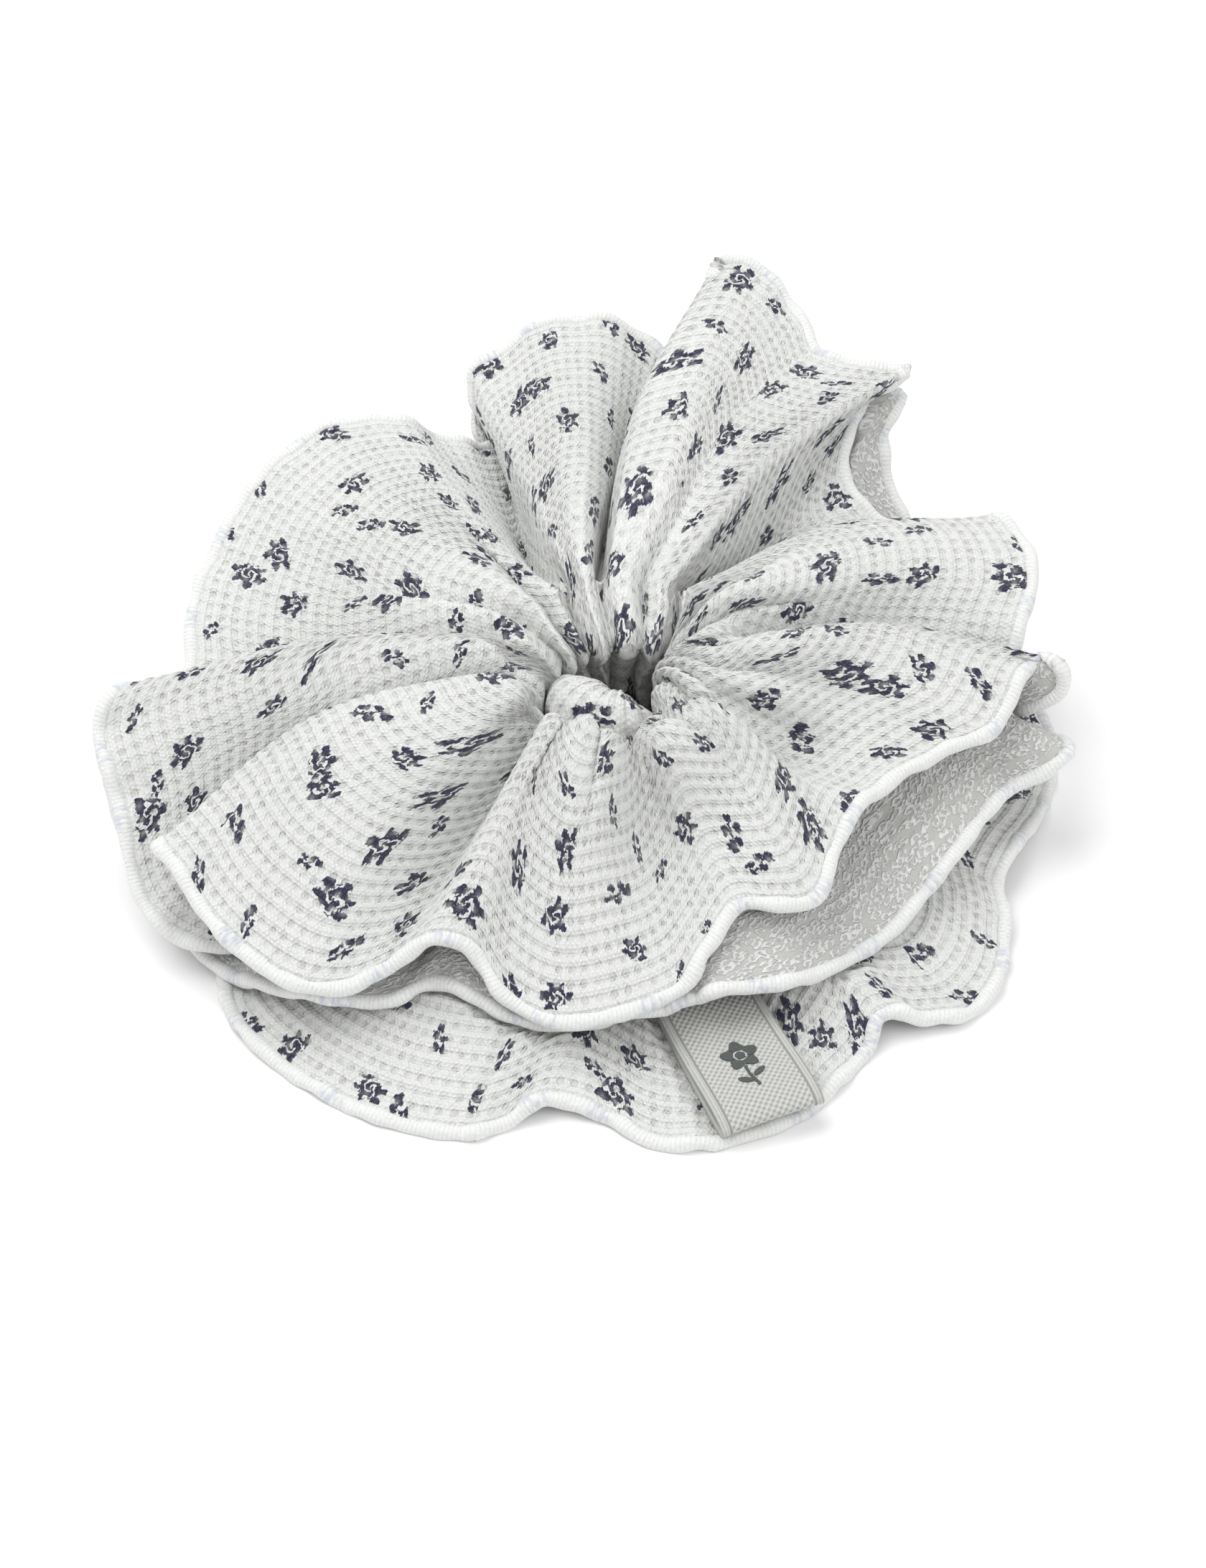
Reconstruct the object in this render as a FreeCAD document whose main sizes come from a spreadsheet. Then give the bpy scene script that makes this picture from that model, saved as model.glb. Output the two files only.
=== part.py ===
"""A double-ruffle hair scrunchie lying on a table, in millimetres.

Two knitted strips are sewn together along two stitch lines. The casing between the lines holds a loop
of elastic, and the strips' free edges flare into four ruffles with rolled hems. A folded woven label is
sewn to the outer casing. +Z is up, and the origin is on the table under the middle of the hair opening.
The loop is made as a front half and a back half, which draw apart along Y as the elastic stretches.
"""
import FreeCAD, Part

import math
import os

import Sketcher
from FreeCAD import Placement, Rotation, Vector

SIZES = {
    # casing and elastic
    "hole_radius": 8.0,  # relaxed hair opening
    "wall": 2.0,  # gathered cloth of one casing wall
    "inner_low": 8.5,
    "inner_high": 25.5,
    "outer_low": 11.0,
    "outer_high": 23.0,
    "lip_height": 2.0,  # where the stitching pulls the two walls together
    "lip_reach": 0.5,
    "outer_wall_radius": 12.0,
    "elastic_radius": 10.3,
    "elastic_thick": 1.4,
    "elastic_low": 13.5,
    "elastic_width": 7.0,
    "stitch_ring": 11.0,
    "thread_radius": 0.48,
    "stitch_inset": 1.0,
    "half_gap": 0.1,  # each half stands this far off the plane between them
    # ruffles: the root is where a ruffle leaves its casing wall, and the rim is its hem
    "cloth": 1.2,
    "inner_root": 8.2,
    "outer_root": 11.7,
    "root_gap": 0.05,
    "top_rim": 66.5,
    "top_rim_height": 24.0,
    "second_rim": 64.0,
    "second_rim_height": 21.0,
    "upper_bulge": 6.0,
    "upper_tilt": 9.0,  # the ruffles ride up at the back
    "upper_wave": 4.0,
    "upper_peak": 8.0,  # one petal stands above the others
    "third_rim": 67.5,
    "third_rim_height": 4.2,
    "third_bulge": 1.5,
    "third_wave": 1.5,
    "scallop": 1.5,
    "bottom_rim": 61.0,
    "bottom_bend": 24.0,
    "hem_radius": 1.0,
    "hem_bite": 0.4,  # how far a rolled hem laps over its cloth's edge
    "bottom_hem_radius": 0.9,
    "bottom_hem_height": 0.95,
    # joins, and the stitching on the elastic
    "seam_cloth": 0.7,
    "tack_thick": 0.2,
    "tack_margin": 1.0,
    # label
    "label_width": 14.5,
    "label_root": 15.0,
    "label_knee": 50.0,
    "label_tip": 69.5,
    "root_height": 15.3,
    "knee_height": 11.0,
    "tip_height": 3.6,
    "tape": 0.5,
    "tape_gap": 0.5,  # between the folded label's two layers
    "label_tack": 0.35,
    "petal_radius": 1.9,
    "petal_ring": 2.7,
    "motif_thick": 0.25,
    "motif_sunk": 0.1,
}
LABEL_AZIMUTH = -77.0
OUTER_JOIN_AZIMUTH = -108.0
INNER_JOIN_AZIMUTH = 152.0
ELASTIC_JOIN_AZIMUTH = 60.0
PEAK_AZIMUTH = 77.0
PEAK_SPREAD = 18.0
UPPER_LOBES = 9
LOWER_LOBES = 8
RIM_STEP = 5.0  # degrees between the points along a hem
OUTWARD_STEPS = (0.0, 0.12, 0.3, 0.5, 0.7, 0.86, 1.0)
SEAM_HALF_ANGLE = 3.0
HEM_END_ANGLE = 1.0
TACK_ANGLE = 20.0
LABEL_TACK_ANGLE = 50.0
PETALS = 5
SIDES = {"front": -1, "back": 1}  # the sign of Y on each half

doc = FreeCAD.newDocument("scrunchie")
sheet = doc.addObject("Spreadsheet::Sheet", "Sizes")
for row, (alias, value) in enumerate(SIZES.items(), start=1):
    sheet.set(f"A{row}", alias)
    sheet.set(f"B{row}", str(value))
    sheet.setAlias(f"B{row}", alias)
doc.recompute()

nodes = {}


def size(alias):
    return getattr(sheet, alias)


def register(feature, label):
    feature.Label = label
    nodes[label] = feature
    return feature


def half_placement(half):
    return Placement(Vector(0, SIDES[half] * size("half_gap"), 0), Rotation())


def turned_to(azimuth, half):
    turn = Placement(Vector(), Rotation(Vector(0, 0, 1), azimuth))
    return half_placement(half) * turn


# Sketched bodies


def cell_value(expression):
    """The value of a sum such as 'Sizes.tape + 2 * Sizes.wall', worked out from the sheet."""
    total, sign, product = 0.0, 1, 1.0
    for word in expression.split() + ["+"]:
        if word in ("+", "-"):
            total += sign * product
            sign, product = (1 if word == "+" else -1), 1.0
        elif word != "*":
            product *= size(word[6:]) if word.startswith("Sizes.") else float(word)
    return total


def profile_sketch(body, name, points):
    """A closed polygon in the XZ plane. Each corner is a pair of expressions: distance out, height."""
    sketch = body.newObject("Sketcher::SketchObject", name)
    plane = next(f for f in body.Origin.OriginFeatures if f.Role == "XZ_Plane")
    sketch.AttachmentSupport = [(plane, "")]
    sketch.MapMode = "FlatFace"
    corners = [Vector(cell_value(out), cell_value(up), 0) for out, up in points]
    for i, corner in enumerate(corners):
        sketch.addGeometry(Part.LineSegment(corner, corners[(i + 1) % len(corners)]))
    for i in range(len(corners)):
        sketch.addConstraint(Sketcher.Constraint("Coincident", i, 2, (i + 1) % len(corners), 1))
    for i, (out, up) in enumerate(points):
        number = sketch.addConstraint(Sketcher.Constraint("DistanceX", -1, 1, i, 1, corners[i].x))
        sketch.setExpression(f"Constraints[{number}]", out)
        if up == "0":
            sketch.addConstraint(Sketcher.Constraint("PointOnObject", i, 1, -1))
        else:
            number = sketch.addConstraint(Sketcher.Constraint("DistanceY", -1, 1, i, 1, corners[i].y))
            sketch.setExpression(f"Constraints[{number}]", up)
    return sketch


def revolved(label, points, half, angle=180.0, middle=None):
    """A body turned about Z: a whole half of the ring, or an arc of it about the azimuth middle."""
    body = doc.addObject("PartDesign::Body", label)
    sketch = profile_sketch(body, label + "_profile", points)
    turn = body.newObject("PartDesign::Revolution", label + "_turn")
    turn.Profile = sketch
    turn.ReferenceAxis = (sketch, ["V_Axis"])
    turn.Angle = angle
    turn.Reversed = middle is None and half == "front"
    body.Tip = turn
    start = 0.0 if middle is None else middle - angle / 2
    body.Placement = turned_to(start, half)
    return register(body, label)


def box_profile(low_out, high_out, low_up, high_up):
    return [(low_out, low_up), (high_out, low_up), (high_out, high_up), (low_out, high_up)]


# Casing, elastic and their stitching


def inner_casing(half):
    face, back = "Sizes.hole_radius", "Sizes.hole_radius + Sizes.wall"
    lip = back + " + Sizes.lip_reach"
    points = [
        (face, "Sizes.inner_low"),
        (back, "Sizes.inner_low"),
        (back, "Sizes.outer_low"),
        (lip, "Sizes.outer_low"),
        (lip, "Sizes.outer_low + Sizes.lip_height"),
        (back, "Sizes.outer_low + Sizes.lip_height"),
        (back, "Sizes.outer_high - Sizes.lip_height"),
        (lip, "Sizes.outer_high - Sizes.lip_height"),
        (lip, "Sizes.outer_high"),
        (back, "Sizes.outer_high"),
        (back, "Sizes.inner_high"),
        (face, "Sizes.inner_high"),
    ]
    revolved(f"inner_casing_{half}", points, half)


def outer_casing(half):
    face = "Sizes.outer_wall_radius"
    lip, back = face + " - Sizes.lip_reach", face + " + Sizes.wall"
    points = [
        (lip, "Sizes.outer_low"),
        (back, "Sizes.outer_low"),
        (back, "Sizes.outer_high"),
        (lip, "Sizes.outer_high"),
        (lip, "Sizes.outer_high - Sizes.lip_height"),
        (face, "Sizes.outer_high - Sizes.lip_height"),
        (face, "Sizes.outer_low + Sizes.lip_height"),
        (lip, "Sizes.outer_low + Sizes.lip_height"),
    ]
    revolved(f"outer_casing_{half}", points, half)


def elastic_band(half):
    points = box_profile(
        "Sizes.elastic_radius",
        "Sizes.elastic_radius + Sizes.elastic_thick",
        "Sizes.elastic_low",
        "Sizes.elastic_low + Sizes.elastic_width",
    )
    revolved(f"elastic_band_{half}", points, half)


def elastic_join_stitch():
    outside = "Sizes.elastic_radius + Sizes.elastic_thick + Sizes.root_gap"
    points = box_profile(
        outside,
        outside + " + Sizes.tack_thick",
        "Sizes.elastic_low + Sizes.tack_margin",
        "Sizes.elastic_low + Sizes.elastic_width - Sizes.tack_margin",
    )
    revolved("elastic_join_stitch", points, "back", TACK_ANGLE, ELASTIC_JOIN_AZIMUTH)


def ring_thread(label, half, ring, thread, height):
    """Half a ring of thread, with its radius, thickness and height bound to the sheet."""
    torus = doc.addObject("Part::Torus", label)
    torus.setExpression("Radius1", ring)
    torus.setExpression("Radius2", thread)
    torus.Angle3 = 180
    torus.Placement = turned_to(0.0 if half == "back" else 180.0, half)
    torus.setExpression("Placement.Base.z", height)
    register(torus, label)


def casing_stitches(half):
    for name, height in (
        ("upper", "Sizes.outer_high - Sizes.stitch_inset"),
        ("lower", "Sizes.outer_low + Sizes.stitch_inset"),
    ):
        label = f"{name}_casing_stitch_{half}"
        ring_thread(label, half, "Sizes.stitch_ring", "Sizes.thread_radius", height)


# Ruffles and hems


def cos_deg(angle):
    return math.cos(math.radians(angle))


def sin_deg(angle):
    return math.sin(math.radians(angle))


def upper_rim(name, azimuth):
    """Radius and height of the top or second ruffle's hem, where the cloth's upper face ends."""
    lobe = cos_deg(UPPER_LOBES * (azimuth - LABEL_AZIMUTH))
    peak = math.exp(-(((azimuth - PEAK_AZIMUTH) / PEAK_SPREAD) ** 2))
    height = size(f"{name}_rim_height") + size("upper_tilt") * sin_deg(azimuth)
    height += size("upper_wave") * lobe + size("upper_peak") * peak
    return size(f"{name}_rim") + size("scallop") * lobe, height


def third_rim(azimuth):
    lobe = cos_deg(LOWER_LOBES * (azimuth - LABEL_AZIMUTH))
    return size("third_rim") - size("scallop") * lobe, size("third_rim_height") - size("third_wave") * lobe


RUFFLES = {
    "top_ruffle": {
        "rim": lambda azimuth: upper_rim("top", azimuth),
        "root": lambda: (size("inner_root"), size("inner_high") + size("root_gap") + size("cloth")),
        "bulge": "upper_bulge",
    },
    "second_ruffle": {
        "rim": lambda azimuth: upper_rim("second", azimuth),
        "root": lambda: (size("outer_root"), size("outer_high") + size("root_gap") + size("cloth")),
        "bulge": "upper_bulge",
    },
    "third_ruffle": {
        "rim": third_rim,
        "root": lambda: (size("outer_root"), size("outer_low") - size("root_gap")),
        "bulge": "third_bulge",
    },
}


def cloth_point(ruffle, azimuth, outward, drop=0.0):
    """A point of the cloth's upper face, from the root at outward 0 to the rim at outward 1."""
    root_radius, root_height = ruffle["root"]()
    rim_radius, rim_height = ruffle["rim"](azimuth)
    radius = root_radius + (rim_radius - root_radius) * outward
    height = root_height + (rim_height - root_height) * outward
    height += size(ruffle["bulge"]) * math.sin(math.pi * outward) - drop
    return Vector(radius * cos_deg(azimuth), radius * sin_deg(azimuth), height)


def cloth_solid(ruffle, azimuths, outward_steps, drop, thick):
    """A wavy sheet of cloth: its upper face through a grid of points, made solid downwards."""
    grid = [[cloth_point(ruffle, a, v, drop) for v in outward_steps] for a in azimuths]
    surface = Part.BSplineSurface()
    surface.interpolate(grid)
    return surface.toShape().extrude(Vector(0, 0, -thick))


def azimuths_of(half):
    steps = round(180 / RIM_STEP)
    return [SIDES[half] * i * RIM_STEP for i in range(steps + 1)]


def shape_feature(label, shape, placement):
    feature = doc.addObject("Part::Feature", label)
    feature.Shape = shape
    feature.Placement = placement
    return register(feature, label)


def wavy_ruffle(name, half):
    solid = cloth_solid(RUFFLES[name], azimuths_of(half), OUTWARD_STEPS, 0.0, size("cloth"))
    shape_feature(f"{name}_{half}", solid, half_placement(half))


def bottom_ruffle(half):
    """Its outer part lies flat on the table."""
    root_top = "Sizes.inner_low - Sizes.root_gap"
    points = [
        ("Sizes.inner_root", root_top),
        ("Sizes.bottom_bend", "Sizes.cloth"),
        ("Sizes.bottom_rim", "Sizes.cloth"),
        ("Sizes.bottom_rim", "0"),
        ("Sizes.bottom_bend", "0"),
        ("Sizes.inner_root", root_top + " - Sizes.cloth"),
    ]
    revolved(f"bottom_ruffle_{half}", points, half)


def rounded_path(points):
    """Straight runs joined by tangent arcs, each as large as 0.45 of its shorter run allows."""
    edges, at = [], points[0]
    for before, corner, after in zip(points, points[1:], points[2:]):
        back, ahead = before - corner, after - corner
        trim = 0.45 * min(back.Length, ahead.Length)
        half_turn = (math.pi - back.getAngle(ahead)) / 2
        radius = trim / math.tan(half_turn)
        back.normalize()
        ahead.normalize()
        start, end = corner + back * trim, corner + ahead * trim
        inward = (back + ahead).normalize()
        middle = corner + inward * (radius / math.cos(half_turn) - radius)
        edges += [Part.LineSegment(at, start).toShape(), Part.Arc(start, middle, end).toShape()]
        at = end
    edges.append(Part.LineSegment(at, points[-1]).toShape())
    return Part.Wire(edges)


def tube(path, radius):
    """A round tube along a path. Its volume has to be its section times its length."""
    first = path.Edges[0]
    start = first.valueAt(first.FirstParameter)
    circle = Part.Circle(start, first.tangentAt(first.FirstParameter), radius).toShape()
    solid = path.makePipeShell([Part.Wire([circle])], True, False)
    wanted = math.pi * radius**2 * path.Length
    if abs(solid.Volume / wanted - 1) > 0.02:
        raise RuntimeError(f"tube volume {solid.Volume:.1f}, wanted {wanted:.1f}")
    return solid


def wavy_hem(name, half):
    """A rolled hem along a wavy ruffle's rim, stopping a little short of the other half's."""
    ends = SIDES[half] * HEM_END_ANGLE
    azimuths = [ends, *azimuths_of(half)[1:-1], SIDES[half] * 180 - ends]
    points = []
    for azimuth in azimuths:
        radius, height = RUFFLES[name]["rim"](azimuth)
        radius += size("hem_radius") - size("hem_bite")
        height -= size("cloth") / 2
        points.append(Vector(radius * cos_deg(azimuth), radius * sin_deg(azimuth), height))
    label = name.replace("ruffle", "hem") + "_" + half
    shape_feature(label, tube(rounded_path(points), size("hem_radius")), half_placement(half))


def bottom_hem(half):
    ring = "Sizes.bottom_rim + Sizes.bottom_hem_radius - Sizes.hem_bite"
    ring_thread(f"bottom_hem_{half}", half, ring, "Sizes.bottom_hem_radius", "Sizes.bottom_hem_height")


def join_seam(label, ruffle_name, half, azimuth):
    """The turned-in cloth where a strip's two ends are sewn together, along a ruffle's underside."""
    azimuths = [azimuth + turn * SEAM_HALF_ANGLE for turn in (-1.0, -0.5, 0.0, 0.5, 1.0)]
    drop = size("cloth") + size("root_gap")
    solid = cloth_solid(RUFFLES[ruffle_name], azimuths, OUTWARD_STEPS[1:-1], drop, size("seam_cloth"))
    shape_feature(label, solid, half_placement(half))


# Label


def label_stitch():
    inside = "Sizes.outer_wall_radius + Sizes.wall + Sizes.root_gap"
    height = "Sizes.root_height + 2 * Sizes.tape + Sizes.tape_gap"
    points = box_profile(inside, inside + " + Sizes.label_tack", "Sizes.root_height", height)
    revolved("label_stitch", points, "front", LABEL_TACK_ANGLE, LABEL_AZIMUTH)


def woven_label():
    """A tape folded back on itself at the tip, with both of its ends at the casing."""
    stations = (
        ("Sizes.label_root", "Sizes.root_height"),
        ("Sizes.label_knee", "Sizes.knee_height"),
        ("Sizes.label_tip", "Sizes.tip_height"),
    )
    root, knee, (tip, tip_up) = stations
    in_fold = (tip + " - Sizes.tape", tip_up)
    faces = (
        ("", (root, knee, (tip, tip_up))),
        (" + 2 * Sizes.tape + Sizes.tape_gap", ((tip, tip_up), knee, root)),
        (" + Sizes.tape + Sizes.tape_gap", (root, knee, in_fold)),
        (" + Sizes.tape", (in_fold, knee, root)),
    )
    points = [(out, up + rise) for rise, corners in faces for out, up in corners]
    body = doc.addObject("PartDesign::Body", "woven_label")
    pad = body.newObject("PartDesign::Pad", "woven_label_pad")
    pad.Profile = profile_sketch(body, "woven_label_profile", points)
    pad.setExpression("Length", "Sizes.label_width")
    pad.Midplane = True
    body.Tip = pad
    body.Placement = turned_to(LABEL_AZIMUTH, "front")
    register(body, "woven_label")


def label_motif():
    """A raised flower in the middle of the label's sloping end."""
    discs = []
    for i in range(PETALS + 1):
        disc = doc.addObject("Part::Cylinder", f"motif_disc_{i}")
        disc.setExpression("Radius", "Sizes.petal_radius")
        disc.setExpression("Height", "Sizes.motif_thick")
        if i < PETALS:
            turn = Rotation(Vector(0, 0, 1), 360 * i / PETALS)
            disc.Placement = Placement(turn.multVec(Vector(size("petal_ring"), 0, 0)), Rotation())
        discs.append(disc)
    flower = doc.addObject("Part::MultiFuse", "label_motif")
    flower.Shapes = discs
    run = size("label_tip") - size("label_knee")
    fall = size("knee_height") - size("tip_height")
    face = size("knee_height") - fall / 2 + 2 * size("tape") + size("tape_gap")
    slope = Rotation(Vector(0, 1, 0), math.degrees(math.atan2(fall, run)))
    sunk = slope.multVec(Vector(0, 0, -size("motif_sunk")))
    middle = Vector(size("label_knee") + run / 2, 0, face) + sunk
    flower.Placement = turned_to(LABEL_AZIMUTH, "front") * Placement(middle, slope)
    register(flower, "label_motif")


for half in SIDES:
    inner_casing(half)
    outer_casing(half)
    elastic_band(half)
    casing_stitches(half)
    for ruffle_name in RUFFLES:
        wavy_ruffle(ruffle_name, half)
        wavy_hem(ruffle_name, half)
    bottom_ruffle(half)
    bottom_hem(half)
elastic_join_stitch()
join_seam("outer_join_seam", "third_ruffle", "front", OUTER_JOIN_AZIMUTH)
join_seam("inner_join_seam", "top_ruffle", "back", INNER_JOIN_AZIMUTH)
label_stitch()
woven_label()
label_motif()

doc.recompute()
for feature in doc.Objects:
    if "Invalid" in feature.State or "Error" in feature.State:
        raise RuntimeError(f"{feature.Name} failed: {feature.State}")
for label, feature in nodes.items():
    shape = feature.Shape
    if shape.isNull() or not shape.isValid() or not shape.Solids or shape.Volume <= 0:
        raise RuntimeError(f"{label} has no valid solid")

os.makedirs("parts", exist_ok=True)
for label, feature in nodes.items():
    feature.Shape.exportStep(f"parts/{label}.step")
    box = feature.Shape.BoundBox
    print(f"{label:28s} {feature.Shape.Volume:9.1f} mm3  z {box.ZMin:6.2f} to {box.ZMax:6.2f}")
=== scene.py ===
"""Looks of the double-ruffle scrunchie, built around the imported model. Tables are in millimetres."""
import math

import bpy
import numpy as np
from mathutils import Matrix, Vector
from mathutils.bvhtree import BVHTree


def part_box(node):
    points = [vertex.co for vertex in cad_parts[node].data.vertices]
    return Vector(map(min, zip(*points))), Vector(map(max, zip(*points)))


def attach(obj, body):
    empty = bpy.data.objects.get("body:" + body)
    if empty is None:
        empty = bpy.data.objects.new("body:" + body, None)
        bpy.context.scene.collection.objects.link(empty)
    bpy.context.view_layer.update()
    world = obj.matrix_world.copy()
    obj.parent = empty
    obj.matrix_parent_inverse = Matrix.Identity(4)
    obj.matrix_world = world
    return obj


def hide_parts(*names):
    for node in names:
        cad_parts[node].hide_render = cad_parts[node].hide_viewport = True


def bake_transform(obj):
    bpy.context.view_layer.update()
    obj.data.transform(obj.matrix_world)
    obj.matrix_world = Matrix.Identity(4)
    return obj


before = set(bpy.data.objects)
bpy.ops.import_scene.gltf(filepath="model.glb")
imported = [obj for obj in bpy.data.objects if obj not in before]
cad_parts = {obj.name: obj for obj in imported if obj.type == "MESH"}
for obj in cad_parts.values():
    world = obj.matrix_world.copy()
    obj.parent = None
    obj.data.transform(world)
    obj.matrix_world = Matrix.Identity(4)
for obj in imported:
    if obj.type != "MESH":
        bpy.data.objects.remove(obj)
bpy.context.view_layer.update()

MM = 0.001
HALVES = ("front", "back")

# ---------------------------------------------------------------------------
# Where the cloth goes. Each stop is a point of the hem: x, y, z. Where a ridge or crease runs in from
# it, there follow the azimuth at the ring, the lift, and the x, y, z of the spoke's middle. Lift is 1
# on a ridge and -1 in a crease. Stops go round anticlockwise, seen from above.


def read_stops(table):
    """(hem point, spoke) for each stop. A spoke is (azimuth, lift, middle point), or None."""
    return [(row[:3], (row[3], row[4], row[5:]) if row[3:] else None) for row in table]


TOP_STOPS = read_stops([
    # left arm: its ridge, its face, and its hem turning down
    (-73, -6, 27, -178, 1.0, -45, 0, 31), (-75, -11, 24), (-73, -17, 20, -170, 0.2, -48, -8, 26),
    (-71, -22, 15.5), (-70, -26, 12.5), (-68, -31, 9.5), (-64, -35, 7.5),
    (-57, -37, 6.5, -162, -0.9, -45, -16, 18),
    # its hem folds under the next petal and comes back out above
    (-51, -34, 7), (-53, -29, 10, -157, -1.0, -42, -15, 18), (-60, -27, 15),
    # lower left petal
    (-65, -30, 20, -150, 1.0, -44, -14, 29), (-62, -34, 19), (-58, -40, 16.5, -145, 0.8, -42, -22, 28),
    (-53, -45, 14.5), (-45, -49.5, 12, -138, 0.4, -34, -31, 23), (-37, -49, 11.5),
    (-31, -46, 14, -127, -1.0, -24, -31, 16),
    # crest between the lower left petal and the front petal
    (-26, -45.5, 17, -118, 1.0, -19, -32, 25), (-21, -46, 15.5), (-17, -50, 11, -111, 0.7, -13, -34, 24),
    # front petal
    (-10, -54, 9.5), (-2, -54, 10.6, -97, 0.5, -4, -36, 22.5), (7, -50.3, 11.8),
    (11.5, -44.2, 14.6, -86, -1.0, 5.5, -28.5, 17.5), (15.5, -39, 17),
    (21.5, -39, 17, -72, 0.6, 14.5, -27, 24), (26.5, -37.5, 17),
    # front right fold
    (29, -31.5, 19.5, -58, 1.0, 20, -21, 27), (32, -25, 21.5), (35.5, -20, 21, -44, -1.0, 25, -15, 20.5),
    # right petal
    (46, -12, 21.5, -26, 0.2, 32, -7, 25), (52.5, -9, 22), (55.5, -5, 24),
    (57.5, -1, 26, -4, 1.0, 39, 4, 30.5),
    # its tip curls out and back
    (60.8, 0.8, 27.6), (63.4, -0.2, 26), (63.2, -1.0, 22.4), (58.5, 0.5, 18.6, 8, -0.8, 42, 8, 22),
    (57, 6, 18.6, 15, -1.0, 38, 10, 21),
    # upper right petal
    (58.5, 12, 24), (61, 20, 26.5, 24, 0.6, 40, 17, 29), (60, 28.5, 27.5),
    (56.5, 33, 27.5, 36, 1.0, 35, 26, 31.5), (49.5, 33, 25), (43, 35, 24, 47, 0.2, 28, 28, 28.5),
    (36, 39, 26), (34, 44, 29, 54, -1.0, 22.5, 30, 25.5), (36, 51, 32.5), (40, 55, 35),
    # tall petal
    (44.5, 57.5, 37.5, 62, 0.7, 23, 38, 36), (37.5, 58.5, 37.5), (30.5, 62, 38, 75, 0.9, 17, 43, 39),
    (28.5, 67.5, 39), (25, 73, 42), (19.5, 76, 45, 88, 0.9, 10, 48, 40.5),
    (14.5, 74, 45.5, 98, 1.0, 3, 50, 38), (13, 68, 39), (10, 66, 31, 106, -1.0, 0, 44, 26),
    # top petal
    (5, 73, 31), (-1, 76, 33.5, 109, 0.2, -2, 44, 30), (-7, 76, 34, 113, 1.0, -6, 42, 33.5),
    (-13, 74.5, 34), (-19, 69, 33), (-24, 65.5, 30.5, 121, 0.9, -16, 40, 32), (-23.5, 62, 27),
    (-19, 57, 24, 129, -1.0, -16, 35, 24),
    # upper left petal
    (-23, 53, 26), (-29, 51, 29.5, 135, 0.0, -21, 31, 31), (-34.5, 49, 34, 141, 1.0, -26, 28, 36),
    (-40.5, 48.5, 34.5), (-47, 47.5, 33, 148, 0.8, -32, 26, 34), (-52, 44, 31),
    (-57, 38.5, 28.5, 156, 0.5, -38, 21, 30), (-60, 33, 26), (-63, 25, 23.5, 164, 0.2, -41, 14, 26),
    (-64.5, 16.5, 21.5), (-64, 8, 19, 171, -1.0, -44, 6, 21), (-67, 1, 22),
])


def under(stops, drop, inset):
    """The same stops for a layer that lies below: lower, and with its hem a little inside."""
    made = []
    for (x, y, z), spoke in stops:
        shrink = 1 - inset / math.hypot(x, y)
        hem = (x * shrink, y * shrink, z - drop)
        if spoke:
            azimuth, lift, (mx, my, mz) = spoke
            spoke = (azimuth, lift, (mx, my, mz - drop - 1.0))
        made.append((hem, spoke))
    return made


SECOND_STOPS = read_stops([
    # left side, seen under the left arm
    (-72.5, -5, 23, -178, 1.0, -45, 0, 26), (-74, -9, 20), (-74, -13, 16, -170, 0.2, -48, -8, 21),
    (-72.5, -17, 12.5), (-70, -22, 9.5), (-66, -29, 5.5, -162, -0.9, -45, -16, 12), (-60.5, -34.5, 3.6),
    (-56, -39, 3.4, -153, -0.3, -43, -18, 12.0), (-51, -44, 6.6, -145, 0.8, -42, -22, 21),
    (-45, -48, 9, -138, 0.4, -34, -31, 17), (-38, -48.5, 8), (-32, -48, 7.5, -127, -1.0, -24, -31, 11),
    (-26, -46, 9, -118, 0.8, -19, -32, 18), (-20, -48.5, 8), (-15, -51, 7.0, -111, 0.6, -13, -34, 16),
    # front
    (-8, -52, 6.8, -97, 0.5, -3, -36, 15.5), (0, -52.3, 9.4), (8, -50.3, 10.7, -84, -0.6, 6, -28, 14.5),
    (16, -48.8, 10.9, -70, 0.3, 15, -26, 18), (23, -46.8, 9.9), (31, -41, 8, -56, 1.0, 21, -21, 20),
    (37.5, -36, 9), (43, -29, 10.5, -40, -1.0, 24, -14, 16),
    # right side
    (47.5, -23, 12, -26, 0.2, 32, -7, 19), (52, -16.5, 13), (56, -12, 14, -12, 0.8, 37, -1, 23.5),
    (61, -10, 15), (64.5, -8, 17.5, -2, 0.6, 40, 4, 23), (64, -4, 16), (58, 1, 12.5, 8, -0.8, 42, 8, 17),
    (56, 7, 14, 15, -1.0, 38, 10, 16.5), (57, 12, 19.5), (59, 20, 22.5, 24, 0.6, 40, 17, 24),
    (57.5, 27.5, 23, 36, 1.0, 34.5, 25.5, 26.5), (52, 32, 21.5),
    # the pocket behind the upper right and tall petals
    (47, 36.5, 19.5, 50, -0.6, 27, 29, 21.5), (44, 41, 20, 58, -1.0, 22, 31.5, 22.5), (41.5, 46, 24),
    (40.5, 51, 29),
]) + under(TOP_STOPS[50:], 4.1, 1.6)

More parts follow.
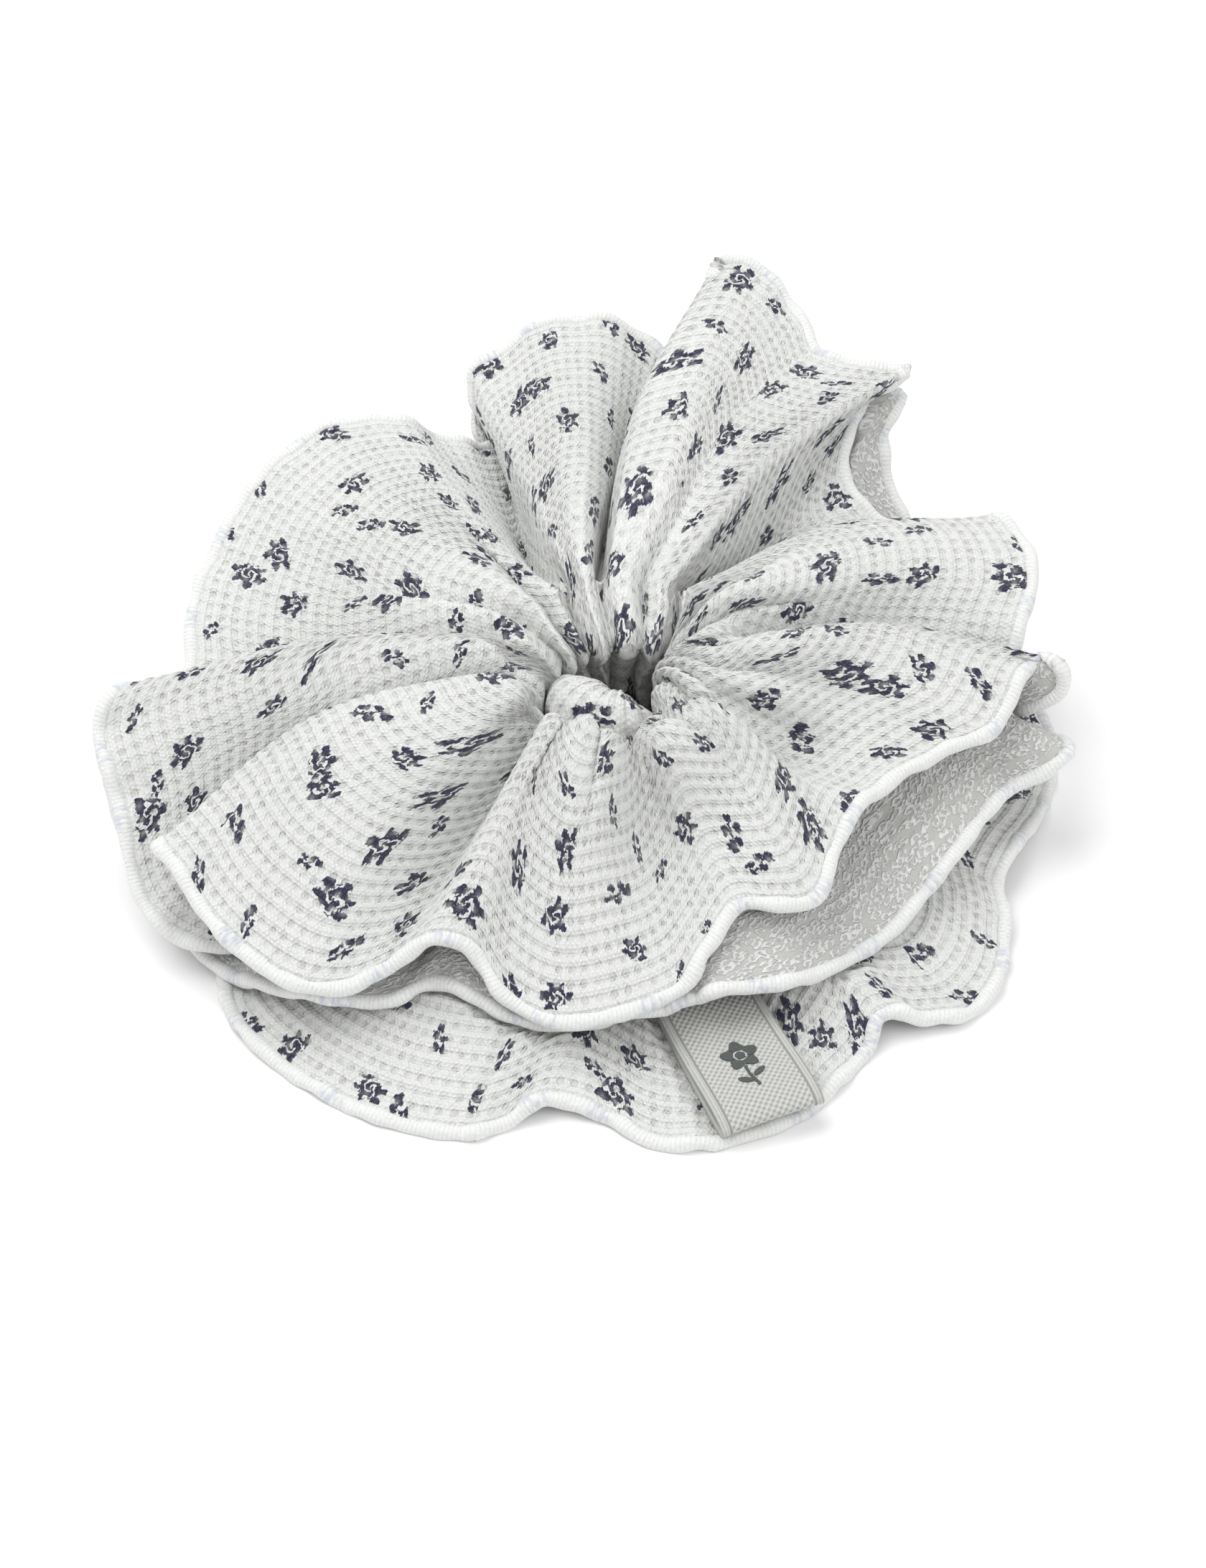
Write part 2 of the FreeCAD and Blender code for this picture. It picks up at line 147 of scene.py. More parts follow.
THIRD_STOPS = read_stops([
    (-21, -67, 1.3, -112, 0.3, -14, -45, 7.8), (-16.5, -65.5, 1.6),
    (-12.5, -63, 2.8, -101, 1.0, -7, -43, 7.4), (-8, -62.5, 3), (-2, -64.5, 1.4, -92, -0.6, -1, -43, 5.2),
    (3, -68, 1.3), (9, -69, 1.2, -83, 0.0, 7, -43, 4.9), (17, -67, 1.2, -74, -0.2, 13, -42, 4.9),
    (24, -63.5, 1.3), (28.5, -58.5, 1.4, -64, 0.0, 20, -39, 6.4), (33.5, -52, 1.6),
    (35, -48.5, 4, -57, 0.8, 25, -36, 9.5), (38, -47.5, 4.5), (43, -47, 2.6, -50, -0.2, 30, -32, 8),
    (48.5, -45, 1.8), (53, -38, 1.8, -38, 0.4, 36, -26, 9), (54.5, -29, 2.8),
    (54, -22, 4.6, -26, 1.0, 38, -17, 10), (57, -15, 5.2), (61, -7, 3.0, -9, -0.5, 42, -5, 7.5),
    (64, 2, 1.4), (65, 12, 2.0, 8, 0.5, 43, 6, 9), (62, 21, 4.2, 20, 1.0, 41, 15, 10), (60, 29, 2.4),
    (58, 37, 1.4, 34, -0.8, 36, 23, 8), (51, 44, 3.6), (44, 49, 4.4, 48, 1.0, 30, 32, 10), (38, 55, 2.2),
    (30, 61, 1.4, 64, -0.6, 20, 39, 8), (21, 63, 3.8, 73, 0.8, 14, 43, 10), (12, 64, 3.0),
    (3, 67, 1.4, 88, -0.4, 2, 45, 8), (-7, 65, 3.2, 98, 0.9, -6, 44, 10), (-16, 63, 3.4),
    (-24, 63, 1.5, 113, -0.8, -17, 41, 8), (-33, 57, 2.6), (-39, 50, 4.4, 128, 1.0, -26, 36, 10),
    (-46, 45, 2.4), (-53, 39, 1.4, 144, -0.5, -35, 27, 8), (-57, 31, 3.0, 153, 0.6, -38, 21, 10),
    (-59, 22, 4.0), (-63, 13, 1.8, 168, -0.6, -43, 10, 8), (-65, 4, 2.0),
    (-63, -5, 4.0, -176, 0.9, -42, -3, 9.5), (-61, -14, 3.4), (-60, -24, 1.6, -160, -0.8, -40, -14, 7.6),
    (-59, -31, 2.4), (-57, -37, 1.6, -148, 0.2, -37, -23, 7.5), (-54, -47, 2),
    (-47, -55, 1.4, -132, -0.4, -30, -33, 7.8), (-38.5, -61.5, 1.3),
    (-30, -65.5, 1.3, -120, 0.2, -21, -41, 8.4),
])


def round_stops(count, radius, height, middle_radius, middle_height, phase):
    """Stops for a layer nobody sees from above: uneven waves, nearly flat on the table."""
    made = []
    for i in range(count):
        azimuth = phase + 360 * (i + 0.25 * math.sin(2.3 * i)) / count
        wave = 1 if i % 2 else -1
        a = math.radians(azimuth)
        r = radius + 1.2 * math.sin(1.7 * i) + 1.3 * wave
        hem = (r * math.cos(a), r * math.sin(a), height + 0.3 * (wave + 1))
        middle = (middle_radius * math.cos(a), middle_radius * math.sin(a), middle_height + 0.5 * wave)
        made.append((hem, (azimuth, 0.5 * wave, middle)))
    return made


BOTTOM_STOPS = round_stops(34, 54.0, 1.15, 36.0, 3.2, -108.0)


def closed_knots(points):
    """Chord lengths run up round closed points. The last is back at the first point."""
    steps = np.linalg.norm(np.roll(points, -1, axis=0) - points, axis=1)
    return np.concatenate([[0.0], np.cumsum(steps)])


def hermite(t, p1, p2, slope1, slope2):
    return (
        (2 * t**3 - 3 * t**2 + 1) * p1
        + (t**3 - 2 * t**2 + t) * slope1
        + (3 * t**2 - 2 * t**3) * p2
        + (t**3 - t**2) * slope2
    )


def closed_curve(knots, values, where, period):
    """A closed Catmull-Rom curve through values at uneven knots, at the parameters in where."""
    count = len(knots)
    wrapped = np.concatenate([knots[-2:] - period, knots, knots[:3] + period])
    index = np.concatenate([[count - 2, count - 1], np.arange(count), [0, 1, 2]])
    points = values[index]
    where = np.mod(where, period)
    k = np.searchsorted(wrapped, where, side="right") - 1
    t0, t1, t2, t3 = (wrapped[k + i] for i in (-1, 0, 1, 2))
    p0, p1, p2, p3 = (points[k + i] for i in (-1, 0, 1, 2))
    span = (t2 - t1)[:, None]
    slope1 = (p2 - p0) / (t2 - t0)[:, None] * span
    slope2 = (p3 - p1) / (t3 - t1)[:, None] * span
    return hermite(((where - t1) / (t2 - t1))[:, None], p1, p2, slope1, slope2)


# ---------------------------------------------------------------------------
# Cloth surfaces

CLOTH_UV = "cloth"
RIB_PITCH = 2.2
ROWS_PER_RIB = 5
INNER_ROWS = 26
RIBBED_DEPTH = 46.0  # how far in from the hem the rows follow the ribs
CLOTH_THICK = 1.0
HEM_RADIUS = 1.12
PLEATS = 19
BACK_ROWS = 30
HEM_SAMPLES = 6001

# The ring as it lies: its hole sits a little to the right, and in front the casing has rolled up
# into it. The ruffle's cloth runs over the lip behind, and meets the roll at a crease in front.
RING_CENTRE = (0.8, -1.0)
RING_SQUASH = 0.58
RING_BROAD_AZIMUTH = 100.0
RING_BROAD_HALF_ANGLE = 75.0
ROLL_AZIMUTH = -124.0
ROLL_HALF_ANGLE = 66.0
RING_BACK = ((7.8, 12.0), (7.4, 18.0), (6.5, 22.8), (5.0, 26.2), (5.9, 28.5), (9.5, 30.2), (14.5, 30.9))
RING_FRONT = (
    (13.1, 19.4), (13.3, 20.2), (13.5, 21.0), (13.7, 21.8), (14.1, 22.6), (15.0, 24.6), (17.0, 26.6),
)


def smooth(edge0, edge1, x):
    t = np.clip((x - edge0) / (edge1 - edge0), 0, 1)
    return t * t * (3 - 2 * t)


def polar(azimuth, radius, height):
    a = np.radians(azimuth)
    return np.stack([radius * np.cos(a), radius * np.sin(a), height], axis=-1)


def roll_share(azimuth):
    """1 in front, where the casing has rolled up, and 0 behind."""
    from_front = np.mod(azimuth - ROLL_AZIMUTH + 180, 360) - 180
    return np.exp(-((from_front / ROLL_HALF_ANGLE) ** 4))


def top_root(azimuth):
    """The line from deep in the hair opening, over the ring's lip, to where the ruffle leaves it."""
    front = roll_share(azimuth)
    from_back = np.mod(azimuth - RING_BROAD_AZIMUTH + 180, 360) - 180
    broad = np.exp(-((from_back / RING_BROAD_HALF_ANGLE) ** 4))
    stations = []
    for (back_radius, back_height), (front_radius, front_height) in zip(RING_BACK, RING_FRONT):
        radius = back_radius + (front_radius - back_radius) * front
        station = polar(azimuth, radius, back_height + (front_height - back_height) * front)
        near_hole = (1 - front) * (1 - smooth(4, 14.5, back_radius)) * smooth(18, 25, back_height)
        station[:, :2] *= (1 + 0.9 * broad * near_hole)[:, None]
        station[:, 1] *= 1 - RING_SQUASH * near_hole
        station[:, :2] += np.array(RING_CENTRE) * near_hole[:, None]
        stations.append(station)
    return stations


def root_at(*stations):
    """A root line with the same stations all round: (radius, height) pairs."""
    return lambda azimuth: [polar(azimuth, radius, height + 0 * azimuth) for radius, height in stations]


def spokes_of(stops, columns):
    """At evenly spaced places along the hem: its points, the spokes' middles, their lift and their
    azimuth at the ring. Last comes the hem's length."""
    hem = np.array([stop[0] for stop in stops], float)
    knots = closed_knots(hem)
    length, knots = knots[-1], knots[:-1]
    keyed = [i for i, stop in enumerate(stops) if stop[1]]
    key_knots = knots[keyed]
    azimuth = np.unwrap(np.array([stops[i][1][0] for i in keyed], float), period=360)
    lift = np.array([stops[i][1][1] for i in keyed], float)
    middle = np.array([stops[i][1][2] for i in keyed], float)
    samples = np.linspace(0, length, HEM_SAMPLES)
    fine = closed_curve(knots, hem, samples, length)
    run = np.concatenate([[0], np.cumsum(np.linalg.norm(np.diff(fine, axis=0), axis=1))])
    at = np.interp(np.arange(columns) / columns * run[-1], run, samples)
    line = closed_curve(knots, hem, at, length)
    mid = closed_curve(key_knots, middle, at, length)
    rise = closed_curve(key_knots, lift[:, None], at, length)[:, 0]
    round_knots = np.append(key_knots, key_knots[0] + length)
    turned = np.interp(at, round_knots, np.append(azimuth, azimuth[0] + 360))
    return line, mid, rise, turned, run[-1]


def open_curve(stations):
    """Points every 0.25 mm or so along open Catmull-Rom curves, one curve for each column."""
    points = np.stack(stations, axis=1)
    columns, count, _ = points.shape
    chords = np.sqrt(np.linalg.norm(np.diff(points, axis=1), axis=2))
    knots = np.concatenate([np.zeros((columns, 1)), np.cumsum(chords, axis=1)], axis=1)
    first = 2 * points[:, :1] - points[:, 1:2]
    last = 2 * points[:, -1:] - points[:, -2:-1]
    points = np.concatenate([first, points, last], axis=1)
    knots = np.concatenate([-chords[:, :1], knots, knots[:, -1:] + chords[:, -1:]], axis=1)
    pieces = []
    for k in range(1, count):
        t0, t1, t2, t3 = (knots[:, k + i, None] for i in (-1, 0, 1, 2))
        p0, p1, p2, p3 = (points[:, k + i, None] for i in (-1, 0, 1, 2))
        slope1 = (p2 - p0) / (t2 - t0)[..., None] * (t2 - t1)[..., None]
        slope2 = (p3 - p1) / (t3 - t1)[..., None] * (t2 - t1)[..., None]
        t = np.linspace(0, 1, 60, endpoint=k == count - 1)[None, :, None]
        pieces.append(hermite(t, p1, p2, slope1, slope2))
    return np.concatenate(pieces, axis=1)


def resample(curves, depths_of):
    """Points at chosen distances from the hem along each curve. The curves run from root to hem."""
    result = []
    for curve in curves:
        curve = curve[::-1]
        run = np.concatenate([[0], np.cumsum(np.linalg.norm(np.diff(curve, axis=0), axis=1))])
        depths = depths_of(run[-1])
        result.append([np.interp(depths, run, curve[:, i]) for i in range(3)])
    return np.transpose(np.array(result), (0, 2, 1))


def grid_normals(points):
    across = np.roll(points, -1, axis=0) - np.roll(points, 1, axis=0)
    along = np.gradient(points, axis=1)
    normal = np.cross(across, along)
    return normal / np.maximum(np.linalg.norm(normal, axis=2, keepdims=True), 1e-9)


def pleats_round(rng, azimuth):
    """Uneven pleats round the ring, for each column: which pleat, the place across it from -1 to 1,
    how far out it runs, and how tall it is."""
    widths = rng.uniform(0.7, 1.35, PLEATS)
    edges = np.concatenate([[0], np.cumsum(widths)]) / widths.sum() * 360
    turned = np.clip(azimuth - azimuth[0], 0, 359.999)
    which = np.clip(np.searchsorted(edges, turned, side="right") - 1, 0, PLEATS - 1)
    local = (turned - edges[which]) / (edges[which + 1] - edges[which]) * 2 - 1
    return which, local, rng.uniform(0.75, 1.4, PLEATS)[which], rng.uniform(0.75, 1.2, PLEATS)[which]


def macro_surface(stops, root_of, columns, rng, near_radius, near_height, near_lift, pleat_height):
    """The ruffle's upper face before its ribs: rows at set depths in from the hem, columns along it."""
    hem, mid, lift, azimuth, length = spokes_of(stops, columns)
    mid_azimuth = np.degrees(np.arctan2(mid[:, 1], mid[:, 0]))
    swing = np.mod(mid_azimuth - azimuth + 180, 360) - 180
    broad = 1 - 2 * ((1 - np.clip(lift, -1, 1)) / 2) ** 1.7
    near = polar(azimuth + 0.35 * swing, near_radius, near_height + near_lift * broad)
    curves = open_curve([*root_of(azimuth), near, mid, hem])
    outer = np.arange(0, RIBBED_DEPTH, RIB_PITCH / ROWS_PER_RIB)

    def depths_of(total):
        inner = outer[-1] + (total - outer[-1]) * np.arange(1, INNER_ROWS + 1) / INNER_ROWS
        return np.concatenate([outer, inner])

    points = resample(curves, depths_of)
    which, local, reach, tall = pleats_round(rng, azimuth)
    ring_distance = np.linalg.norm(points[:, :, :2], axis=2)
    fade = 1 - smooth(11, 31, ring_distance / reach[:, None])
    crown = (1 - 2.0 * np.abs(local) ** 1.8) * tall
    fade = fade * (0.6 + 0.4 * smooth(4, 11, ring_distance))
    if root_of is top_root:
        fade = fade * (1 - 0.8 * roll_share(azimuth)[:, None] * (1 - smooth(14, 19, ring_distance)))
    points = points + grid_normals(points) * (pleat_height * crown[:, None] * fade)[..., None]
    return {"points": points, "depth": depths_of(RIBBED_DEPTH + 30.0), "length": length, "which": which}


def cloth_u(surface):
    """Distance along the strip at both ends of each face column. Near the ring it is measured
    across each pleat from its middle, so that the print isn't squeezed where the cloth is gathered."""
    points, which = surface["points"], surface["which"]
    columns, length = len(points), surface["length"]
    steps = np.linalg.norm(np.roll(points, -1, axis=0) - points, axis=2)
    run = np.concatenate([np.zeros((1, points.shape[1])), np.cumsum(steps, axis=0)])
    middles = np.array([np.flatnonzero(which == k).mean() for k in range(PLEATS)])
    places = np.arange(columns + 1)
    middle_run = np.array([np.interp(middles, places, run[:, j]) for j in range(run.shape[1])]).T
    free = smooth(20, 40, surface["depth"])[None, :]
    ends = []
    for shift in (0, 1):
        index = np.arange(columns) + shift
        plain = (index / columns * length)[:, None]
        pleated = (middles[which] / columns * length)[:, None] + run[index] - middle_run[which]
        ends.append(plain + (pleated - plain) * free)
    return ends


def rib_profile(depth):
    ridge = np.sin(np.pi * depth / RIB_PITCH) ** 2
    return ridge * (1 - smooth(RIBBED_DEPTH - 8, RIBBED_DEPTH, depth))


def quad_mesh(name, vertices, quads, uvs, slots, materials):
    vertices = np.array(vertices, float)
    vertices[:, 2] = np.maximum(vertices[:, 2], 0.0)
    mesh = bpy.data.meshes.new(name)
    mesh.vertices.add(len(vertices))
    mesh.vertices.foreach_set("co", (vertices * MM).astype(np.float32).ravel())
    mesh.loops.add(quads.size)
    mesh.loops.foreach_set("vertex_index", quads.astype(np.int32).ravel())
    mesh.polygons.add(len(quads))
    mesh.polygons.foreach_set("loop_start", np.arange(0, quads.size, 4, dtype=np.int32))
    mesh.update(calc_edges=True)
    for material in materials:
        mesh.materials.append(material)
    mesh.polygons.foreach_set("material_index", slots.astype(np.int32))
    mesh.polygons.foreach_set("use_smooth", np.ones(len(quads), bool))
    layer = mesh.uv_layers.new(name=CLOTH_UV)
    layer.data.foreach_set("uv", (uvs * MM).astype(np.float32).ravel())
    mesh.validate()
    piece = bpy.data.objects.new(name, mesh)
    bpy.context.collection.objects.link(piece)
    return piece


def strip_quads(first_ids, second_ids):
    """Quads between two grids' neighbouring rows, round a closed strip."""
    after_first, after_second = np.roll(first_ids, -1, axis=0), np.roll(second_ids, -1, axis=0)
    return np.stack([first_ids, after_first, after_second, second_ids], axis=-1).reshape(-1, 4)


HEM_ROWS = 8  # rows of faces, counted from the edge, that have the hem's tube on them
LAYER_GAP, HEM_GAP, LABEL_GAP = 1.75, 2.35, 0.85
SEWN_RADIUS = 17  # nearer the ring the layers are sewn to each other and stay where they are
SEARCH_REACH = 9  # a face further off than this doesn't push
BESIDE_LIMIT = 1.2  # a place further beside a face than this isn't under it
PUSH_TURNS = 6


def surface_tree(points):
    """A search tree of an upper surface, and how many faces it has down each column."""
    ids = np.arange(points[..., 0].size).reshape(points.shape[:2])
    quads = strip_quads(ids[:, :-1], ids[:, 1:])
    return BVHTree.FromPolygons(points.reshape(-1, 3).tolist(), quads.tolist()), points.shape[1] - 1


def keep_below(points, depth, obstacle):
    """Moves a layer's points down where they come too close to what lies above it. Even turns look
    straight up from under the floor, and odd turns push off the nearest face."""
    tree, faces_down, gap, hem_gap = obstacle
    wanted = gap + (hem_gap - gap) * (1 - smooth(0, 6, depth))
    for turn in range(PUSH_TURNS):
        push = np.zeros_like(points)
        free = np.hypot(points[..., 0], points[..., 1]) > SEWN_RADIUS
        for column, row in zip(*np.nonzero(free)):
            if row % 2:
                continue
            if turn % 2 == 0:
                x, y, z = points[column, row]
                lowest = tree.ray_cast(Vector((x, y, -5)), Vector((0, 0, 1)))[0]
                if lowest and z > lowest.z - wanted[row]:
                    push[column, row] = 0, 0, lowest.z - wanted[row] - z
                continue
            place = Vector(points[column, row])
            near, normal, face, away = tree.find_nearest(place)
            if away > SEARCH_REACH or normal.z < 0.1:
                continue
            least = max(wanted[row], hem_gap if face % faces_down < HEM_ROWS else 0)
            signed = (place - near).dot(normal)
            beside = (place - near - normal * signed).length
            if beside > BESIDE_LIMIT and away > least:
                continue
            if signed > -least:
                push[column, row] = normal * (-least - signed)
        push[:, 1:-1:2] = (push[:, 0:-2:2] + push[:, 2::2]) / 2
        for _ in range(2):
            spread = (np.roll(push, 1, axis=0) + np.roll(push, -1, axis=0) + 2 * push) / 4
            push = np.where(np.abs(spread) > np.abs(push), spread, push)
        points = points + push
        points[..., 2] = np.maximum(points[..., 2], 1.0)
    return points


def edge_ripple(length, columns, depth, rng):
    """Small uneven waves along the hem, which die out a few millimetres in."""
    along = np.arange(columns) / columns * 2 * math.pi
    waves = sum(
        size * np.sin(along * round(length / pitch) + rng.uniform(0, 2 * math.pi))
        for pitch, size in ((11.5, 0.26), (7.9, 0.18), (5.6, 0.1))
    )
    return waves[:, None] * np.exp(-((depth / 4.5) ** 2))[None, :]


def ruffle(name, stops, root_of, materials, rng, columns=540, near_radius=21.0, near_height=29.0,
           near_lift=3.6, pleat_height=1.45, rib_height=0.24, seam=0.0, above=()):
    """A closed, two-faced ruffle. materials are those of its upper and lower face. seam is how deep
    the join across the strip, at its first column, pulls the cloth in. above are the trees of what
    it has to stay below."""
    surface = macro_surface(
        stops, root_of, columns, rng, near_radius, near_height, near_lift, pleat_height
    )
    base, depth = surface["points"], surface["depth"]
    normals = grid_normals(base)
    if seam:
        places = np.arange(columns)
        from_seam = np.minimum(places, columns - places) / columns * surface["length"]
        base = base - normals * (seam * np.exp(-((from_seam / 1.1) ** 2)))[:, None, None]
    for obstacle in above:
        base = keep_below(base, depth, obstacle)
    base = base + normals * edge_ripple(surface["length"], columns, depth, rng)[..., None]
    normals = grid_normals(base)
    surface["points"] = base
    upper = base + normals * (rib_height * rib_profile(depth))[None, :, None]
    picked = np.unique(np.linspace(0, len(depth) - 1, BACK_ROWS).round().astype(int))
    lower = (base - normals * CLOTH_THICK)[:, picked]
    upper_ids = np.arange(upper[..., 0].size).reshape(upper.shape[:2])
    lower_ids = upper_ids.size + np.arange(lower[..., 0].size).reshape(lower.shape[:2])
    left, right = cloth_u(surface)
    parts, uv_parts, slot_parts = [], [], []

    def add(first_ids, second_ids, rows_first, rows_second, slot, flip):
        quads = strip_quads(first_ids, second_ids)
        d1, d2 = depth[rows_first], depth[rows_second]
        shape = first_ids.shape
        ends = ((left, rows_first), (right, rows_first), (right, rows_second), (left, rows_second))
        u = np.stack([side[:, rows_at] for side, rows_at in ends], -1)
        v = np.stack([np.broadcast_to(d, shape) for d in (d1, d1, d2, d2)], -1)
        uv = np.stack([u, v], axis=-1).reshape(-1, 4, 2)
        if flip:
            quads, uv = quads[:, ::-1], uv[:, ::-1]
        parts.append(quads)
        uv_parts.append(uv)
        slot_parts.append(np.full(len(quads), slot))

    rows = np.arange(len(depth))
    add(upper_ids[:, :-1], upper_ids[:, 1:], rows[:-1], rows[1:], 0, False)
    add(lower_ids[:, :-1], lower_ids[:, 1:], picked[:-1], picked[1:], 1, True)
    add(upper_ids[:, :1], lower_ids[:, :1], rows[:1], rows[:1], 0, True)
    add(upper_ids[:, -1:], lower_ids[:, -1:], rows[-1:], rows[-1:], 0, False)
    vertices = np.concatenate([upper.reshape(-1, 3), lower.reshape(-1, 3)])
    quads, uvs, slots = (np.concatenate(each) for each in (parts, uv_parts, slot_parts))
    return quad_mesh(name, vertices, quads, uvs, slots, materials), surface


def unit(vectors):
    return vectors / np.linalg.norm(vectors, axis=1, keepdims=True)


def tube_points(line, radius, first, second, sides):
    """Rings of points round a line. first and second are the directions across it."""
    turn = np.arange(sides) / sides * 2 * math.pi
    circle = np.cos(turn)[None, :, None] * first[:, None] + np.sin(turn)[None, :, None] * second[:, None]
    return line[:, None] + radius * circle


def tube_quads(columns, sides):
    ids = np.arange(columns * sides).reshape(columns, sides)
    return ids, strip_quads(ids, np.roll(ids, -1, axis=1))


def hem_tube(name, surface, radius, material, sides=10):
    """The rolled hem: a soft tube round the ruffle's edge."""
    base = surface["points"]
    line = base[:, 0] - grid_normals(base)[:, 0] * CLOTH_THICK / 2
    outward = unit(base[:, 0] - base[:, 3])
    line = line + outward * radius * 0.5
    along = unit(np.roll(line, -1, axis=0) - np.roll(line, 1, axis=0))
    side = unit(np.cross(along, outward))
    out = np.cross(side, along)
    turn = np.arange(len(line)) / len(line) * 2 * math.pi
    uneven = 1 + 0.07 * np.sin(turn * 61) + 0.06 * np.sin(turn * 97 + 1) + 0.05 * np.sin(turn * 29 + 2)
    rings = tube_points(line, radius * uneven[:, None, None], out, side, sides)
    columns = len(line)
    quads = tube_quads(columns, sides)[1]
    u0 = np.repeat(np.arange(columns), sides) / columns * surface["length"]
    u1 = np.repeat(np.arange(columns) + 1, sides) / columns * surface["length"]
    v0 = np.tile(np.arange(sides), columns) / sides * 2 * math.pi * radius
    v1 = np.tile(np.arange(sides) + 1, columns) / sides * 2 * math.pi * radius
    uv = np.stack([np.stack([u0, u1, u1, u0], -1), np.stack([v0, v0, v1, v1], -1)], axis=-1)
    return quad_mesh(name, rings.reshape(-1, 3), quads, uv, np.zeros(len(quads)), [material])


# ---------------------------------------------------------------------------
# The woven label: a folded loop of tape, sewn in between the second and third ruffles

LABEL_AZIMUTH = -77.0
LABEL_WIDTH = 14.5
LABEL_THICK = 0.42
LABEL_PATH = [  # (distance out, height) along the upper ply, round the fold and back
    (15.6, 14.6), (24, 12.5), (34, 9.0), (43, 6.1), (51, 4.7), (58, 4.6), (64, 4.9), (68, 4.8),
    (70.1, 4.0), (69.6, 3.1), (67, 2.8), (60, 3.0), (52, 3.4), (43, 5.1), (34, 8.2), (24, 11.8),
    (15.6, 13.9),
]
MOTIF_MIDDLE = 46.5  # how far along the tape from its root


def label_frame():
    """Evenly spaced places along the tape's middle line: along, its (radius, height), and its normal."""
    path = np.array([(x, 0.0, z) for x, z in LABEL_PATH])
    curve = open_curve([point[None, :] for point in path])[0][:, [0, 2]]
    keep = np.concatenate([[True], np.linalg.norm(np.diff(curve, axis=0), axis=1) > 1e-9])
    curve = curve[keep]
    run = np.concatenate([[0], np.cumsum(np.linalg.norm(np.diff(curve, axis=0), axis=1))])
    along = np.linspace(0, run[-1], 300)
    line = np.stack([np.interp(along, run, curve[:, i]) for i in range(2)], axis=1)
    ahead = unit(np.gradient(line, axis=0))
    return along, line, np.stack([-ahead[:, 1], ahead[:, 0]], axis=1)


def out_from_root(r, across, height):
    """A place r out along the label's direction and across from its middle line."""
    a = math.radians(LABEL_AZIMUTH)
    x = r * math.cos(a) - across * math.sin(a)
    y = r * math.sin(a) + across * math.cos(a)
    return np.stack([x, y, height], axis=-1)


def on_label(along_tape, across, offset):
    """Points of the tape: along_tape from the root, across from its middle, offset along its normal."""
    along, line, normal = label_frame()
    r, z = (np.interp(along_tape, along, line[:, i]) for i in range(2))
    nr, nz = (np.interp(along_tape, along, normal[:, i]) for i in range(2))
    r, z = r + nr * offset, z + nz * offset
    far = smooth(30, 72, r)
    z = z + far * (0.13 * across - 0.006 * across**2 + 0.25)
    side = across + 0.17 * np.maximum(r - 44, 0)
    return out_from_root(r - far * 0.10 * across, side, z)


def grid_quads(ids):
    corners = [ids[:-1, :-1], ids[1:, :-1], ids[1:, 1:], ids[:-1, 1:]]
    return np.stack(corners, axis=-1).reshape(-1, 4)


def label_obstacle():
    """The tape's lower ply, for the layer below it to stay clear of."""
    along = label_frame()[0]
    along = along[along > along[-1] * 0.53]
    across = np.linspace(-LABEL_WIDTH / 2, LABEL_WIDTH / 2, 9)
    s, w = np.meshgrid(along, across, indexing="ij")
    points = on_label(s, w, 0.0)
    quads = grid_quads(np.arange(s.size).reshape(s.shape))
    corners = points.reshape(-1, 3)[quads[0]]
    if np.cross(corners[1] - corners[0], corners[2] - corners[0])[2] < 0:
        quads = quads[:, ::-1]
    tree = BVHTree.FromPolygons(points.reshape(-1, 3).tolist(), quads.tolist())
    return tree, len(quads), LABEL_GAP, LABEL_GAP


# ---------------------------------------------------------------------------
# Materials. Lengths in them are in millimetres of cloth.

PRINT_SPACING = 10.3
WALE_PITCH = 2.15
STITCH_PITCH = 0.62


